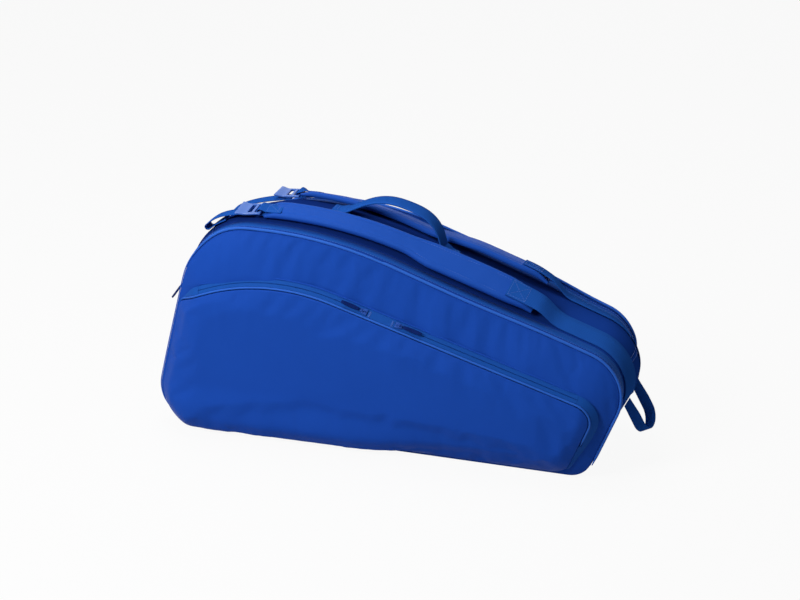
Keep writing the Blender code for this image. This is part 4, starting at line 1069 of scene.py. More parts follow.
def zip_half(name, rings, spots, trim, body, node):
    """One half of a zip: its tape and its row of teeth."""
    hand_over(strip(f"{name}_tape", rings), "zip_tape_weave", "zip_tape", body, node)
    teeth = beads(f"{name}_teeth", spots, (TOOTH_LENGTH, trim.tooth_pitch * 0.46, trim.tooth_height), 5)
    hand_over(teeth, "zip_tooth_plastic", "zip_tape", body)


def wrinkle(co, fold, side=1):
    """Soft upright folds, from -1 to 1, that are wide apart in x and long in z."""
    return noise.noise(Vector((co.x / fold.wide, fold.seed * side, co.z / fold.tall)))


def seam_folds(co, depth, seam, folds, side=1):
    """Height of the folds that run in from a seam and fade further in."""
    full, fades, run = seam
    near_seam = ease(depth / full) * (1 - past(depth, fades, run))
    return near_seam * sum(fold.height * wrinkle(co, fold, side) for fold in folds)


def inset_in(corners):
    """A function for how far in from an outline a point lies, which keeps what it has worked out."""
    known = {}

    def inset(co):
        key = (round(co.x, 5), round(co.z, 5))
        if key not in known:
            known[key] = inset_of(corners, Vector((co.x, co.z)))
        return known[key]

    return inset


def filled(name, groups, spans, depth, flip=False):
    """A cloth that fills an outline, at depth(point) from the bag's middle plane."""
    net = net_between(four_edges(groups), *spans)
    verts = [(p.x, depth(p), p.y) for p in net]
    return cloth_object(name, verts, grid_faces(*spans, flip), [p[:] for p in net])


def upholster(cloth, inset, pressure, folds, moved, wall):
    """Swells a cloth between its seams, folds it, moves it into place and lines it."""
    settle(cloth, inset, pressure)
    finer(cloth)
    push(cloth, folds)
    for vert in cloth.data.vertices:
        vert.co = moved(vert.co)
    cloth.data.materials.append(finish("coated_side_cloth"))
    thicken(cloth, wall, finish("inner_lining"))


def padded_side(shape, name, side):
    """A padded side, swollen between its seams, with faint folds that run in from them."""
    b = shape.body
    inset = inset_in(shape.corners)
    panel = filled(f"{name}_side_cloth", shape.groups, SIDE_SPANS,
                   lambda p: side * (b.seam_y + shape.bulge_at(p) * BEFORE_SWELL), side > 0)
    upholster(panel, inset, SIDE_PRESSURE,
              lambda co: seam_folds(co, inset(co), SIDE_SEAM, SIDE_FOLDS, side),
              lambda co: shape.slump(*co), b.panel_wall)
    hand_over(panel, "coated_side_cloth", "panel_cloth", f"{name}_lid", f"{name}_panel")


def band(shape, name, start, stop, rows, lift, wall):
    """A strip of cloth over the outline, thickened inwards and lined."""
    stations = shape.rim.between(start, stop, BAND_STEP)
    lengths = spread(start, stop, len(stations))
    verts, uvs = [], []
    for s, d in zip(stations, lengths):
        for y in rows:
            verts.append(shape.over(s, y, lift(y, s.point.y, d)))
            uvs.append((y, d))
    made = cloth_object(name, verts, grid_faces(len(rows) - 1, len(stations) - 1, True), uvs)
    made.data.materials.append(finish("ribbed_gusset_cloth"))
    thicken(made, wall, finish("inner_lining"))
    return made


class SidePanels(bpy.types.Operator):
    """Padded sides with their rims and piping"""
    bl_idname = "racket_bag.side_panels"
    bl_label = "Padded sides"

    def execute(self, context):
        shape = BagShape(context.scene)
        b, trim = shape.body, shape.trim
        for name, side in SIDES.items():
            padded_side(shape, name, side)

            edges = sorted((side * (b.zip_y + b.zip_half + GAP), side * (b.seam_y - RIM_EDGE - GAP)))
            rows = spread(*edges, 5)

            def swell(y, z, d):
                share = (y - edges[0]) / (edges[1] - edges[0])
                uneven = noise.noise(Vector((d / 0.02, y * 90, 0)))
                return 0.0012 * math.sin(share * math.pi) + 0.0002 * uneven

            rim = band(shape, f"{name}_rim_band", GAP, shape.rim.end - GAP, rows, swell, b.gusset_wall)
            hand_over(rim, "ribbed_gusset_cloth", "gusset_cloth", f"{name}_lid", f"{name}_rim_gusset")

            start = shape.rim.crossing(1, b.piping_end_z)
            stop = shape.rim.crossing(1, b.piping_end_z, last=True)
            stations = shape.rim.between(start, stop, 0.005)
            radii = [b.piping * shape.welt_at(s.point) for s in stations]
            centres = [shape.over(s, side * (b.seam_y - r / 2), r + GAP) for s, r in zip(stations, radii)]
            ways = [facing(s) for s in stations]
            cord = cord_along(f"{name}_edge_cord", centres, ways, radii)
            hand_over(cord, "edge_binding", "piping", f"{name}_lid", f"{name}_piping")

            y = side * (b.zip_y + b.zip_half + RIM_SEAM)
            points = [shape.over(s, y, 0.0007 + trim.thread * 0.3) for s in stations]
            stitched(f"{name}_rim_stitches", trim, sewn(trim, points, ways), "piping", f"{name}_lid", 0.7)
        return {"FINISHED"}


class GussetBands(bpy.types.Operator):
    """Ribbed gusset round the ends and the spine, the base and the middle wall"""
    bl_idname = "racket_bag.gusset_bands"
    bl_label = "Gusset and base"

    def execute(self, context):
        shape = BagShape(context.scene)
        b, trim, rim = shape.body, shape.trim, shape.rim
        half = shape.gusset_half
        head = rim.length_of(shape.groups[1][ARC_STEPS // 2])
        tail = rim.length_of(shape.groups[3][ARC_STEPS // 2])

        def lift(y, z, d):
            edge = ease((half - abs(y)) / 0.006)
            puckers = noise.noise(Vector((d / 0.016, y * 14, 2.0))) * past(abs(y) - half, -0.03, 0.03)
            return shape.crown_at(y, z) + edge * (0.0004 * puckers - 0.0002)

        for node, start, stop in (("head_end_gusset", 0, head), ("spine_gusset", head, tail),
                                  ("tail_end_gusset", tail, rim.end)):
            cloth = band(shape, node.replace("gusset", "band"), start + GAP / 2, stop - GAP / 2,
                         spread(-half, half, 29), lift, b.gusset_wall)
            hand_over(cloth, "ribbed_gusset_cloth", "gusset_cloth", "carcass", node)

        for name, place in (("head_cross_seam", head), ("tail_cross_seam", tail)):
            spots = []
            for offset in (-SEAM_INSET, SEAM_INSET):
                s = rim.at(place + offset)
                ys = spread(-half + CROSS_INSET, half - CROSS_INSET, 40)
                points = [shape.over(s, y, shape.crown_at(y, s.point.y) + trim.thread * 0.2) for y in ys]
                spots += sewn(trim, points, [facing(s)] * len(ys))
            stitched(name, trim, spots, "gusset_cloth", "carcass", 0.7)

        low, high = rim.stations[0].point.x + GAP, rim.stations[-1].point.x - GAP
        board = block((high - low, 2 * (b.seam_y - BOARD_EDGE), b.base_wall),
                      ((low + high) / 2, 0, b.base_wall / 2))
        board.name = board.data.name = "base_board"
        edit(bpy.ops.mesh.bevel, offset=0.0014, segments=3, affect="EDGES")
        bpy.ops.object.shade_smooth_by_angle(angle=CREASE)
        board.data.uv_layers[0].name = "cloth"
        layer = board.data.uv_layers["cloth"]
        for corner in board.data.loops:
            layer.uv[corner.index].vector = board.data.vertices[corner.vertex_index].co.xy
        hand_over(board, "base_board_cloth", "base_cloth", "carcass", "base_panel")

        net = net_between(four_edges(shape.groups), *WALL_SPANS)
        middle = Vector((0, b.top_z / 2))
        verts = []
        for p in net:
            inset = inset_of(shape.corners, p)
            rise = shape.crown_at(0, p.y) - b.gusset_wall - 2 * GAP
            lifted = p + (p - middle).normalized() * rise * (1 - ease(inset / 0.03))
            lifted.y = max(lifted.y, b.base_wall + GAP)
            quilt = 0.0008 * abs(math.sin(p.x * math.pi / QUILT) * math.sin(p.y * math.pi / QUILT)) ** 0.5
            verts.append((lifted.x, -b.divider_wall / 2 - quilt * ease(inset / 0.02), lifted.y))
        wall = cloth_object("middle_wall", verts, grid_faces(*WALL_SPANS), [p[:] for p in net])
        for vert in wall.data.vertices:
            vert.co += shape.sunk(*vert.co)
        wall.data.materials.append(finish("inner_lining"))
        thicken(wall, b.divider_wall)
        hand_over(wall, "inner_lining", "lining_cloth", "carcass", "centre_divider")
        return {"FINISHED"}


def tape_ring(near, far, wall, lap=0.0):
    """Section of a zip tape as (across, height) pairs; its underside may lap under what lies beyond it."""
    return [(near, -wall / 2), ((near + far) / 2, -wall / 2), (far + lap, -wall / 2),
            (far, wall / 2), ((near + far) / 2, wall / 2), (near, wall / 2)]


class MainZips(bpy.types.Operator):
    """Tapes and teeth of the zips round both compartments"""
    bl_idname = "racket_bag.main_zips"
    bl_label = "Main zips"

    def execute(self, context):
        shape = BagShape(context.scene)
        b, trim, rim = shape.body, shape.trim, shape.rim
        stations = rim.between(GAP, rim.end - GAP, BAND_STEP)
        section = tape_ring(trim.tape_slit, b.zip_half, trim.tape_wall, TAPE_LAP)
        count = int(rim.end / trim.tooth_pitch) - 2
        for name, side in SIDES.items():
            for half, way, body in (("body", -1, "carcass"), ("lid", 1, f"{name}_lid")):
                rings = [[shape.over(s, side * (b.zip_y + way * t), v) for t, v in section] for s in stations]
                spots = []
                for k in range(count):
                    s = rim.at((k + 1 + 0.25 * way) * trim.tooth_pitch)
                    centre = shape.over(s, side * (b.zip_y + way * TOOTH_AT), -trim.tooth_sink)
                    spots.append(Spot(centre, Y_AXIS, facing(s)))
                zip_half(f"{name}_{half}_zip", rings, spots, trim, body, f"{name}_zip_{half}_half")
        return {"FINISHED"}


class FrontPocket(bpy.types.Operator):
    """Arched front pocket with its piping, zips, bridge and gussets"""
    bl_idname = "racket_bag.front_pocket"
    bl_label = "Front pocket"

    def execute(self, context):
        shape = BagShape(context.scene)
        p, trim, b = shape.pocket, shape.trim, shape.body
        inset = inset_in(shape.pocket_outline)

        def folds(co):
            depth = inset(co)
            broad = wrinkle(co, BROAD_FOLD) * ease(depth / 0.04)
            return seam_folds(co, depth, POCKET_SEAM, POCKET_FOLDS) + BROAD_FOLD.height * broad

        face = filled("pocket_face_cloth", shape.pocket_groups, POCKET_SPANS,
                      lambda q: -(shape.pocket_depth(q) + GAP))
        upholster(face, inset, POCKET_PRESSURE, folds, lambda co: co + shape.belly_at(co), p.wall)
        hand_over(face, "coated_side_cloth", "panel_cloth", "pocket", "pocket_panel")

        top, groups = shape.pocket_top, shape.pocket_groups
        tape_at, middle = shape.tape_at, shape.zip_middle
        start = top.crossing(0, p.zip_head_x)
        corner = top.length_of(groups[3][0])
        end = top.length_of(groups[3][-1]) + p.tail_run
        stations = top.between(0, end, CORD_STEP)
        centres = [shape.on_shelf(s, shape.cord_at, 0) for s in stations]
        cord = cord_along("pocket_edge_cord", centres, [facing(s) for s in stations],
                          [p.piping] * len(stations))
        hand_over(cord, "edge_binding", "piping", "pocket", "pocket_piping")

        runs = {"left": (start, top.crossing(0, p.bridge_head_x) - GAP),
                "right": (top.crossing(0, p.bridge_tail_x) + GAP, corner - GAP)}
        for name, (a, c) in runs.items():
            stations = top.between(a, c, BAND_STEP)
            count = int((c - a) / trim.tooth_pitch)
            for half, way, body in (("lower", -1, "pocket"), ("upper", 1, "front_lid")):
                rings, spots = [], []
                for s in stations:
                    far = middle - tape_at if way < 0 else shape.shelf_end(s, trim.tape_wall) - middle
                    rings.append([shape.on_shelf(s, middle + way * t, v) for t, v in
                                  tape_ring(trim.tape_slit, far, trim.tape_wall)])
                for k in range(count):
                    s = top.at(a + (k + 0.5 + 0.25 * way) * trim.tooth_pitch)
                    centre = shape.on_shelf(s, middle + way * TOOTH_AT, -trim.tooth_sink)
                    spots.append(Spot(centre, *shape.shelf_ways(s, middle)[1:]))
                zip_half(f"pocket_{name}_{half}", rings, spots, trim, body, f"pocket_zip_{name}_{half}")

        stations = top.between(start, corner, CORD_STEP)
        centres = []
        for s in stations:
            flat = s.point + s.normal * (shape.shelf_end(s, trim.tape_wall) * math.cos(p.shelf) + HEM_ROLL)
            centres.append(Vector((flat.x, -(b.seam_y + shape.bulge_at(flat) + HEM_ROLL * 0.4), flat.y)))
        hem = cord_along("pocket_upper_hem", centres, [facing(s) for s in stations],
                         [HEM_ROLL] * len(stations))
        hand_over(hem, "coated_side_cloth", "panel_cloth", "front_lid")

        walls = (("pocket_bridge", "pocket_zip_bridge", runs["left"][1] + GAP, runs["right"][0] - GAP),
                 ("pocket_tail_wall", "pocket_tail_gusset", corner, end),
                 ("pocket_head_gore", None, GAP, start - GAP),
                 ("pocket_tail_gore", None, end - GAP, top.end - GAP))
        thin = GORE_WALL / 2
        for name, node, a, c in walls:
            starts = 0.05 if a >= end - GAP else 0.6
            rings = []
            for s in top.between(a, c, 0.003):
                far = shape.shelf_end(s, GORE_WALL)
                near = min(tape_at, far * starts)
                section = ((near, -thin), (far, -thin), (far, thin), ((near + far) / 2, thin * 1.5),
                           (near, thin))
                rings.append([shape.on_shelf(s, t, v) for t, v in section])
            hand_over(strip(name, rings), "zip_tape_weave", "gusset_cloth", "pocket",
                      *([node] if node else []))

        spots = []
        for place in (runs["left"][1] + TACK_INSET, runs["right"][0] - TACK_INSET):
            s = top.at(place)
            _, across, up = shape.shelf_ways(s, 0)
            for k in range(TACKS):
                t = tape_at + TACK_LIFT + k * TACK_PITCH
                spots.append(Spot(shape.on_shelf(s, t, TACK_LIFT), across.cross(up), up))
        tack = beads("bridge_bartacks", spots, (TACK_LENGTH, trim.thread, trim.thread * 0.8))
        hand_over(tack, "sewing_thread", "gusset_cloth", "pocket")
        return {"FINISHED"}


def strap_spots(shape, side, corners, height):
    """World points and ups of sewn lines on a strap, from (distance, across) corners."""
    points, ups = [], []
    for distance, across in traced(corners, 14):
        point, _, up = shape.strap_ways(shape.rim.at(distance), side, across, height)
        points.append(point)
        ups.append(up)
    return points, ups


def cushion_section(inner, outer, high, seed):
    """Section of a padded strap: flat below, round edges and a sewn groove inside each edge."""
    half, middle = (outer - inner) / 2, (outer + inner) / 2
    section = [(a, 0.0) for a in spread(inner + SEAM_INSET, outer - SEAM_INSET, 7)]
    section += [(outer - a, high * h) for a, h in CUSHION_EDGE]
    for a in spread(outer - 0.0034, inner + 0.0034, 19):
        seam = (half - CUSHION_SEAM - abs(a - middle)) / CUSHION_GROOVE
        domed = 0.0009 * (1 - ((a - middle) / half) ** 2)
        ripple = 0.0003 * noise.noise(seed + Vector((0, a / 0.03, 0)))
        section.append((a, high - 0.0004 + domed - CUSHION_GROOVE * math.exp(-seam ** 2) + ripple))
    return section + [(inner + a, high * h) for a, h in reversed(CUSHION_EDGE)]


class ShoulderStraps(bpy.types.Operator):
    """Padded shoulder straps with their sewn edges, webbing and box stitches"""
    bl_idname = "racket_bag.shoulder_straps"
    bl_label = "Shoulder straps"

    def execute(self, context):
        shape = BagShape(context.scene)
        t, trim, rim = shape.straps, shape.trim, shape.rim
        tip = t.webbing + 0.004
        tail = rim.crossing(0, t.tail_x)
        box, hinge = rim.crossing(0, t.tail_x - t.box_run), rim.crossing(0, t.hinge_x)
        finish_z = rim.crossing(1, t.end_z, last=True)
        for name, side in SIDES.items():
            stations = rim.between(shape.strap_head(side), tail, BAND_STEP)
            rings, edges = [], ([], [])
            for i, s in enumerate(stations):
                wide = tip + (t.width - tip) * ease((t.tail_x - s.point.x) / t.taper)
                nip = t.nip * (1 - ease((s.point.x - t.nip_x) / t.nip_run))
                inner, outer = -wide / 2 + nip * 0.4, wide / 2 - nip
                end = min(i, len(stations) - 1 - i)
                high = t.wall * (1 - 0.45 * (1 - ease(end / 3.0)))
                section = cushion_section(inner, outer, high, Vector((s.point.x / 0.02, 0, side * 4.0)))
                rings.append([shape.on_strap(s, side, a, h) for a, h in section])
                for line, place in zip(edges, (inner + CUSHION_SEAM, outer - CUSHION_SEAM)):
                    spot, _, up = shape.strap_ways(s, side, place, high - 0.0009)
                    line.append((spot, up))
            pad = strip(f"{name}_strap_cushion", rings)
            hand_over(pad, "strap_cover", "strap_cloth", f"{name}_strap", f"{name}_strap_pad")
            spots = []
            for line in edges:
                line = line[2:-2]
                spots += sewn(trim, [x[0] for x in line], [x[1] for x in line])
            stitched(f"{name}_strap_stitches", trim, spots, "strap_cloth", f"{name}_strap")

            leaves, lands = t.tail_x + 0.003, t.hinge_x - 0.007
            rings = []
            for s in rim.between(box, finish_z, 0.004):
                rise = 1 - ease((s.point.x - leaves) / (lands - leaves)) if s.point.x < lands else 0.0
                high = (t.wall + GAP + 0.0006) * rise + t.webbing_wall / 2
                centre, across, up = shape.strap_ways(s, side, 0, high)
                rings.append([centre + across * x + up * h
                              for x, h in flat_section(t.webbing, t.webbing_wall)])
            webbing = strip(f"{name}_strap_band", rings)
            hand_over(webbing, "bag_webbing", "webbing", None, f"{name}_strap_webbing",
                      f"{name}_strap_anchor")
            near, far = [shape.on_strap(rim.at(hinge + d), side, 0, 0) for d in (HINGE_RUN, -HINGE_RUN)]
            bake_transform(webbing)

            w = t.webbing / 2 - SEAM_INSET
            a, c = box + SEAM_INSET, box + BOX_END
            high = t.wall + t.webbing_wall + GAP + 0.0007
            spots = []
            for line in ([(a, -w), (c, -w), (c, w), (a, w), (a, -w), (c, w)], [(a, w), (c, -w)]):
                spots += sewn(trim, *strap_spots(shape, side, line, high))
            stitched(f"{name}_box_stitch", trim, spots, "webbing", f"{name}_strap")
        return {"FINISHED"}


def refined(node, name, width):
    """A copy of a rigid node with its doubles merged and its edges rounded off."""
    made = bpy.data.objects.new(name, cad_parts[node].data.copy())
    made.data.name = name
    bpy.context.scene.collection.objects.link(made)
    made.data.materials.clear()
    take(made)
    edit(bpy.ops.mesh.remove_doubles, threshold=1e-6)
    edit(bpy.ops.mesh.dissolve_limited, angle_limit=math.radians(1.5))
    soften(made, width, 40)
    bpy.ops.object.shade_smooth_by_angle(angle=CREASE)
    return made


class Adjusters(bpy.types.Operator):
    """Looped tabs, ladder locks and the webbing that runs through them"""
    bl_idname = "racket_bag.adjusters"
    bl_label = "Strap adjusters"

    def execute(self, context):
        shape = BagShape(context.scene)
        t, trim, rim = shape.straps, shape.trim, shape.rim
        for name, side in SIDES.items():
            head = shape.strap_head(side)
            origin, zip_way, _ = shape.strap_ways(rim.at(head), side, 0, 0)
            along = (origin - shape.on_strap(rim.at(head + t.tab_grip), side, 0, 0)).normalized()
            up = (along.cross(zip_way) * -side).normalized()
            across = up.cross(along)
            bend_z = t.wall + GAP - t.tab_bend
            pivot = origin + along * t.tab_reach + up * bend_z
            mid, slack = t.tab_bend + t.webbing_wall / 2, TAB_SLACK if side < 0 else 0.0
            level = (Y_AXIS - along * along.y).normalized()
            level = level if level.dot(across) > 0 else -level
            swing = Quaternion().slerp(across.rotation_difference(level), LOCK_LEVEL[name])
            spots = []
            for x in spread(-t.tab_grip, t.tab_reach, 16)[:-1]:
                share = past(x, -TAB_RISE, t.tab_reach + TAB_RISE)
                high = mid - TAB_SINK * (1 - share) + slack * share
                spots.append((along * (x - t.tab_reach) + up * high, up, share))
            for angle in spread(math.pi / 2, -math.pi / 2, 17):
                way = along * math.cos(angle) + up * math.sin(angle)
                spots.append((way * (mid + slack), way, 1.0))
            spots.append((along * (2 * GAP - t.tab_reach) - up * (mid + slack), -up, 1.0))
            turns = [Quaternion().slerp(swing, share) for _, _, share in spots]
            centres = [pivot + q @ offset for q, (offset, _, _) in zip(turns, spots)]
            ups = [q @ way for q, (_, way, _) in zip(turns, spots)]
            tab = webbing_along(f"{name}_tab_webbing", centres, [q @ across for q in turns], t.adjuster,
                                t.webbing_wall, ups)
            hand_over(tab, "bag_webbing", "webbing", f"{name}_strap", f"{name}_adjuster_tab")
            w = t.adjuster / 2 - SEAM_INSET
            high = bend_z + mid - TAB_SINK + t.webbing_wall / 2
            a, c = TAB_BOX
            square = [(a, -w), (a, w), (c, w), (c, -w), (a, -w), (c, w)]
            points = [origin - along * x + across * y + up * high for x, y in traced(square, 8)]
            seam = sewn(trim, points, [up] * len(points))
            stitched(f"{name}_tab_stitches", trim, seam, "webbing", f"{name}_strap")

            lock = refined(f"{name}_ladder_lock", f"{name}_lock_body", 0.0005)
            rests = pivot - shape.sunk(*pivot)
            turned = swing.to_matrix().to_4x4()
            lock.data.transform(Matrix.Translation(pivot) @ turned @ Matrix.Translation(-rests))
            hand_over(lock, "lock_plastic_grained", "lock_plastic", f"{name}_lock", f"{name}_ladder_lock")

            fold = rim.crossing(0, shape.body.head_top_x + (t.front_fold if side < 0 else t.rear_fold))
            lift = t.front_lift if side < 0 else t.rear_lift
            start = head - HINGE_RUN
            low = GAP + t.webbing_wall / 2 + (0.0 if side < 0 else t.rear_stand)
            inwards = 0.0 if side < 0 else -t.rear_slant
            path = []
            for share in spread(0, 1, 22):
                path.append((start - share * (start - fold), inwards * ease(share * 1.3),
                             low + lift * ease(share * 1.15)))
            bend = lift / 2
            for angle in spread(math.pi / 2, -math.pi / 2, 13)[1:]:
                path.append((fold - bend * math.cos(angle), inwards, low + bend + bend * math.sin(angle)))
            flat = len(path)
            for run in spread(0, TAIL_SEWN, 9)[1:]:
                path.append((fold + run, inwards, low))
            centres = [shape.on_strap(rim.at(d), side, a, h) for d, a, h in path]
            width_way = shape.strap_ways(rim.at(start), side, 0, 0)[1]
            level = level if level.dot(width_way) > 0 else -level
            laid = 8 if side < 0 else len(path)
            ways = [level.slerp(width_way, ease((i - flat) / laid)) for i in range(len(path))]
            loop = webbing_along(f"{name}_tail_webbing", centres, ways, t.adjuster, t.webbing_wall)
            hand_over(loop, "bag_webbing", "webbing", None, f"{name}_webbing_tail")
            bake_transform(loop)
        return {"FINISHED"}


class GrabHandle(bpy.types.Operator):
    """Webbing grab handle on the spine, sewn down at both ends"""
    bl_idname = "racket_bag.grab_handle"
    bl_label = "Grab handle"

    def execute(self, context):
        shape = BagShape(context.scene)
        trim, rim = shape.trim, shape.rim
        ends = [rim.crossing(0, trim.handle_head_x), rim.crossing(0, trim.handle_tail_x)]
        feet = [shape.on_spine(rim.at(d), trim.handle_lift) for d in ends]
        chord = feet[1] - feet[0]
        up = chord.cross(Y_AXIS).normalized()
        arch = []
        for share in spread(0, 1, 61):
            off = min(abs(2 * share - 1), 1.0)
            lean = chord.normalized() * (trim.handle_lean * math.sin(math.pi * share ** 2))
            high = trim.handle_rise * (1 - off ** HANDLE_SQUARE[0]) ** HANDLE_SQUARE[1]
            arch.append(feet[0] + chord * share + lean + up * high)
        for name, foot, place, sign in (("head", feet[0], ends[0], -1), ("tail", feet[1], ends[1], 1)):
            rests = GAP + trim.handle_wall / 2
            tab = []
            for share in spread(0, 1, 16)[1:]:
                s = rim.at(place + sign * share * trim.handle_ramp)
                lift = rests + (trim.handle_lift - rests) * (1 - ease(share))
                tab.append(shape.on_spine(s, lift))
            for run in spread(0, trim.handle_sewn, 8)[1:]:
                tab.append(shape.on_spine(rim.at(place + sign * (trim.handle_ramp + run)), rests))
            centres = tab[::-1] + (arch[:31] if sign < 0 else arch[:29:-1])
            piece = webbing_along(f"grab_handle_{name}_half", centres, Y_AXIS * -sign, trim.handle_width,
                                  trim.handle_wall)
            hand_over(piece, "bag_webbing", "webbing", None, f"handle_tab_{name}", "grab_handle")
            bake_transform(piece)

            w = trim.handle_width / 2 - SEAM_INSET
            points, ups = [], []
            a, c = HANDLE_BOX
            for d, y in traced([(a, -w), (a, w), (c, w), (c, -w), (a, -w)], 10):
                s = rim.at(place + sign * (trim.handle_ramp + d))
                points.append(shape.on_spine(s, rests + trim.handle_wall / 2, y))
                ups.append(facing(s))
            stitched(f"handle_{name}_stitches", trim, sewn(trim, points, ups), "webbing", "carcass")
        return {"FINISHED"}


class HaulLoop(bpy.types.Operator):
    """Webbing haul loop that hangs from the tail end"""
    bl_idname = "racket_bag.haul_loop"
    bl_label = "Haul loop"

    def execute(self, context):
        shape = BagShape(context.scene)
        trim, rim = shape.trim, shape.rim
        low = rim.crossing(1, trim.loop_z, last=True)
        drop = Vector((math.cos(trim.loop_hang), 0, -math.sin(trim.loop_hang)))
        broad = Vector((math.sin(trim.loop_hang), 0, math.cos(trim.loop_hang))) * trim.loop_width
        feet, legs = [], []
        for side in SIDES.values():
            start = low - side * trim.loop_skew
            ends = [shape.on_spine(rim.at(place), GAP, side * trim.loop_y)
                    for place in (start, start - trim.loop_width)]
            leg = []
            for share in spread(0, 1, 16)[:-1]:
                turned = (ends[1] - ends[0]).lerp(broad, ease(share * trim.loop_leg / trim.loop_twist))
                leg.append((ends[0] + drop * (trim.loop_leg * share), turned))
            feet.append(ends)
            legs.append(leg)
        apart = (feet[1][0] - feet[0][0]) / 2
        aside = apart.normalized()
        bend = (feet[0][0] + feet[1][0]) / 2 + drop * trim.loop_leg
        spots = [(p, across, -aside) for p, across in legs[0]]
        for angle in spread(0, math.pi, 25):
            way = drop * math.sin(angle) - aside * math.cos(angle)
            spots.append((bend + way * apart.length, broad, way))
        spots += [(p, across, aside) for p, across in reversed(legs[1])]
        rings = []
        for spot, across, way in spots:
            middle = spot + across / 2
            rings.append([middle + across.normalized() * a + way * h
                          for a, h in flat_section(across.length, trim.loop_wall)])
        loop = strip("haul_loop_webbing", rings)
        hand_over(loop, "bag_webbing", "webbing", None, "haul_loop")
        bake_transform(loop)
        return {"FINISHED"}


def slider_body(name, trim):
    """A zip slider: two plates that taper to the nose, and a bail over the upper one."""
    near = trim.tooth_height / 2 + GAP
    plates = []
    for sign in (1, -1):
        plate = block((trim.slider_length, trim.slider_width, PLATE), (0, 0, sign * (near + 0.0008)))
        edit(bpy.ops.mesh.subdivide, number_cuts=3)
        for vert in plate.data.vertices:
            front = ease((vert.co.x + trim.slider_length * 0.1) / (trim.slider_length * 0.6))
            vert.co.y *= 1 - 0.36 * front
        soften(plate, 0.0005)
        plates.append(plate)
    top = near + PLATE
    bail = ring_of(BAIL_RADIUS, BAIL_WIRE, 28, (0, 0, top - 0.0002), (math.pi / 2, 0, 0))
    bpy.ops.object.transform_apply()
    edit(bpy.ops.mesh.bisect, plane_co=(0, 0, top - 0.0003), plane_no=(0, 0, 1), clear_inner=True,
         use_fill=True)
    take(plates[0])
    for part in (plates[1], bail):
        part.select_set(True)
    bpy.ops.object.join()
    made = bpy.context.object
    made.name = made.data.name = name
    bpy.ops.object.shade_smooth_by_angle(angle=math.radians(45))
    return made


def zip_pull(name, trim):
    """A zip pull along X from the bar under its bail: a wire ring and a slim rubber grip."""
    ring = ring_of(PULL_RING, PULL_WIRE, 36, (PULL_RING, 0, 0))
    ring.name = ring.data.name = f"{name}_pull_ring"
    sized(1, 0.5, 1)
    start, stop = GRIP_START, trim.pull_length
    grip = block((stop - start, trim.pull_width, GRIP_WALL), ((start + stop) / 2, 0, 0))
    grip.name = grip.data.name = f"{name}_pull_tab"
    edit(bpy.ops.mesh.subdivide, number_cuts=7)
    for vert in grip.data.vertices:
        share = (vert.co.x - start) / (stop - start)
        vert.co.y *= 0.62 + 0.38 * math.sin(math.pi * min(share * 0.8 + 0.12, 1.0))
    soften(grip, 0.0007)
    bpy.ops.object.shade_smooth_by_angle(angle=CREASE)
    take(ring)
    bpy.ops.object.shade_smooth()
    return ring, grip


class SlidersAndPulls(bpy.types.Operator):
    """Zip sliders with their bails and the ribbed rubber pulls"""
    bl_idname = "racket_bag.sliders"
    bl_label = "Sliders and pulls"

    def execute(self, context):
        shape = BagShape(context.scene)
        trim, rim, p = shape.trim, shape.rim, shape.pocket
        places = {}
        station = rim.at(rim.crossing(1, trim.slider_z))
        up = facing(station)
        travel = Vector((-station.normal.y, 0, station.normal.x))
        for name, side in SIDES.items():
            places[name] = (shape.over(station, side * shape.body.zip_y, 0), travel, up, trim.main_droop)
        top = shape.pocket_top
        middle = shape.zip_middle
        park = trim.slider_length / 2 + 0.0005
        for name, way, place in (("pocket_left", -1, top.crossing(0, p.bridge_head_x) - GAP - park),
                                 ("pocket_right", 1, top.crossing(0, p.bridge_tail_x) + GAP + park)):
            s, ahead = top.at(place), top.at(place + way * trim.slider_length)
            origin, _, up = shape.shelf_ways(s, middle)
            travel = (shape.on_shelf(ahead, middle, 0) - origin).normalized()
            places[name] = (origin, travel, up, trim.pocket_droop)
        for name, (origin, travel, up, droop) in places.items():
            turned = Matrix((travel, up.cross(travel), up)).transposed().to_4x4()
            turned.translation = origin
            slider = slider_body(f"{name}_slider_body", trim)
            slider.data.transform(turned)
            hand_over(slider, "slider_paint", "slider_metal", f"{name}_zip_slider", f"{name}_slider")
            level = trim.tooth_height / 2 + GAP + PLATE + BAIL_HEIGHT
            hung = turned @ Matrix.Translation((0, 0, level)) @ Matrix.Rotation(-droop, 4, "Y")
            ring, grip = zip_pull(name, trim)
            ring.data.transform(hung)
            grip.data.transform(hung)
            hand_over(ring, "slider_paint", "slider_metal", f"{name}_zip_pull")
            hand_over(grip, "pull_rubber_grained", "pull_rubber", f"{name}_zip_pull", f"{name}_pull")
            ribs = []
            turned = hung.to_3x3()
            for k in range(RIBS):
                for sign in (1, -1):
                    centre = hung @ Vector((RIB_START + k * RIB_PITCH, 0, sign * GRIP_WALL / 2))
                    ribs.append(Spot(centre, turned @ Y_AXIS, turned @ Vector((0, 0, sign))))
            ribbing = beads(f"{name}_pull_ribs", ribs, RIB_SIZE)
            hand_over(ribbing, "pull_rubber_grained", "pull_rubber", f"{name}_zip_pull")
        return {"FINISHED"}


def seen_rays(tree):
    """1 for rays that show the background: from the camera, off a gloss or through glass."""
    path = add_node(tree, "ShaderNodeLightPath").outputs
    found = path["Is Camera Ray"]
    for kind in ("Is Glossy Ray", "Is Transmission Ray"):
        found = add_node(tree, "ShaderNodeMath", {0: found, 1: path[kind]}, operation="MAXIMUM").outputs[0]
    return found


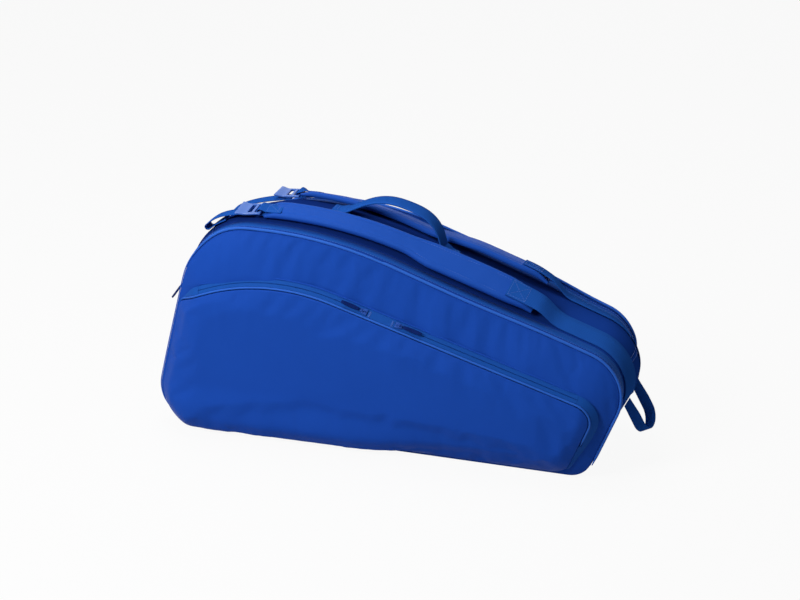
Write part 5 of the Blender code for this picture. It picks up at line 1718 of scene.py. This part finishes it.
class Studio(bpy.types.Operator):
    """Pale floor, soft light and the camera"""
    bl_idname = "racket_bag.studio"
    bl_label = "Studio"

    def execute(self, context):
        scene = context.scene
        bare_stage()
        bpy.ops.mesh.primitive_plane_add(size=1.0)
        floor = context.object
        floor.name = floor.data.name = "studio_floor"
        edit(bpy.ops.transform.resize, value=(FLOOR_SIZE, FLOOR_SIZE, 1))
        paint = bpy.data.materials.new("studio_floor_paint")
        paint.use_nodes = True
        tree = paint.node_tree
        shader = tree.nodes["Principled BSDF"]
        shader.inputs["Base Color"].default_value = (*scene.bag_colours.floor, 1.0)
        shader.inputs["Roughness"].default_value = 0.9
        shader.inputs["Specular IOR Level"].default_value = 0.0
        glow = add_node(tree, "ShaderNodeEmission")
        level = add_node(tree, "ShaderNodeMath", {0: seen_rays(tree), 1: FLOOR_GLOW}, operation="MULTIPLY")
        mix = add_node(tree, "ShaderNodeMixShader",
                       {0: level.outputs[0], 1: shader.outputs[0], 2: glow.outputs[0]})
        tree.links.new(mix.outputs[0], tree.nodes["Material Output"].inputs["Surface"])
        floor.data.materials.append(paint)

        world = scene.world or bpy.data.worlds.new("studio")
        scene.world = world
        world.use_nodes = True
        tree = world.node_tree
        ground = tree.nodes["Background"]
        ground.inputs["Color"].default_value = (1, 1, 1, 1)
        strength = add_node(tree, "ShaderNodeMapRange", {0: seen_rays(tree), 3: WORLD_LIGHT, 4: 1.0})
        tree.links.new(strength.outputs[0], ground.inputs["Strength"])

        for name, place, aim, size, power in LAMPS:
            lamp = bpy.data.lights.new(name, "AREA")
            lamp.shape = "DISK"
            lamp.size = size
            lamp.energy = power
            holder = bpy.data.objects.new(name, lamp)
            holder.location = place
            holder.rotation_euler = (Vector(aim) - Vector(place)).to_track_quat("-Z", "Y").to_euler()
            scene.collection.objects.link(holder)

        flat = math.cos(CAMERA_RISE)
        back = Vector((math.sin(CAMERA_TURN) * flat, -math.cos(CAMERA_TURN) * flat, math.sin(CAMERA_RISE)))
        camera = bpy.data.objects.new("photo_camera", bpy.data.cameras.new("photo_camera"))
        camera.data.sensor_width = CAMERA_SENSOR
        camera.data.lens = CAMERA_LENS
        camera.location = CAMERA_TARGET + back * CAMERA_DISTANCE
        camera.rotation_euler = (-back).to_track_quat("-Z", "Y").to_euler()
        scene.collection.objects.link(camera)
        scene.camera = camera
        scene.view_settings.view_transform = "Standard"
        return {"FINISHED"}


PIECES = (SidePanels, GussetBands, MainZips, FrontPocket, ShoulderStraps, Adjusters, GrabHandle, HaulLoop,
          SlidersAndPulls, Studio)
GROUPS = {"bag_body": BodySizes, "bag_pocket": PocketSizes, "bag_straps": StrapSizes, "bag_trim": TrimSizes,
          "bag_colours": BagColours}


class RacketBagPanel(bpy.types.Panel):
    """Sizes, colours and pieces of the racket bag"""
    bl_idname = "VIEW3D_PT_racket_bag"
    bl_label = "Racket Bag"
    bl_space_type = "VIEW_3D"
    bl_region_type = "UI"
    bl_category = "Racket Bag"

    def draw(self, context):
        for name, group in GROUPS.items():
            box = self.layout.box()
            box.label(text=group.__doc__)
            for key in group.__annotations__:
                box.prop(getattr(context.scene, name), key)
        for piece in PIECES:
            self.layout.operator(piece.bl_idname)


def register():
    """Adds the sizes, the operators and the panel to Blender."""
    for name, group in GROUPS.items():
        bpy.utils.register_class(group)
        setattr(bpy.types.Scene, name, bpy.props.PointerProperty(type=group))
    for piece in (*PIECES, RacketBagPanel):
        bpy.utils.register_class(piece)


def unregister():
    """Takes them out again."""
    for piece in (RacketBagPanel, *reversed(PIECES)):
        bpy.utils.unregister_class(piece)
    for name, group in reversed(GROUPS.items()):
        delattr(bpy.types.Scene, name)
        bpy.utils.unregister_class(group)


def main():
    """Makes all pieces in order."""
    register()
    for piece in PIECES:
        group, name = piece.bl_idname.split(".")
        getattr(getattr(bpy.ops, group), name)()


if __name__ == "__main__":
    main()
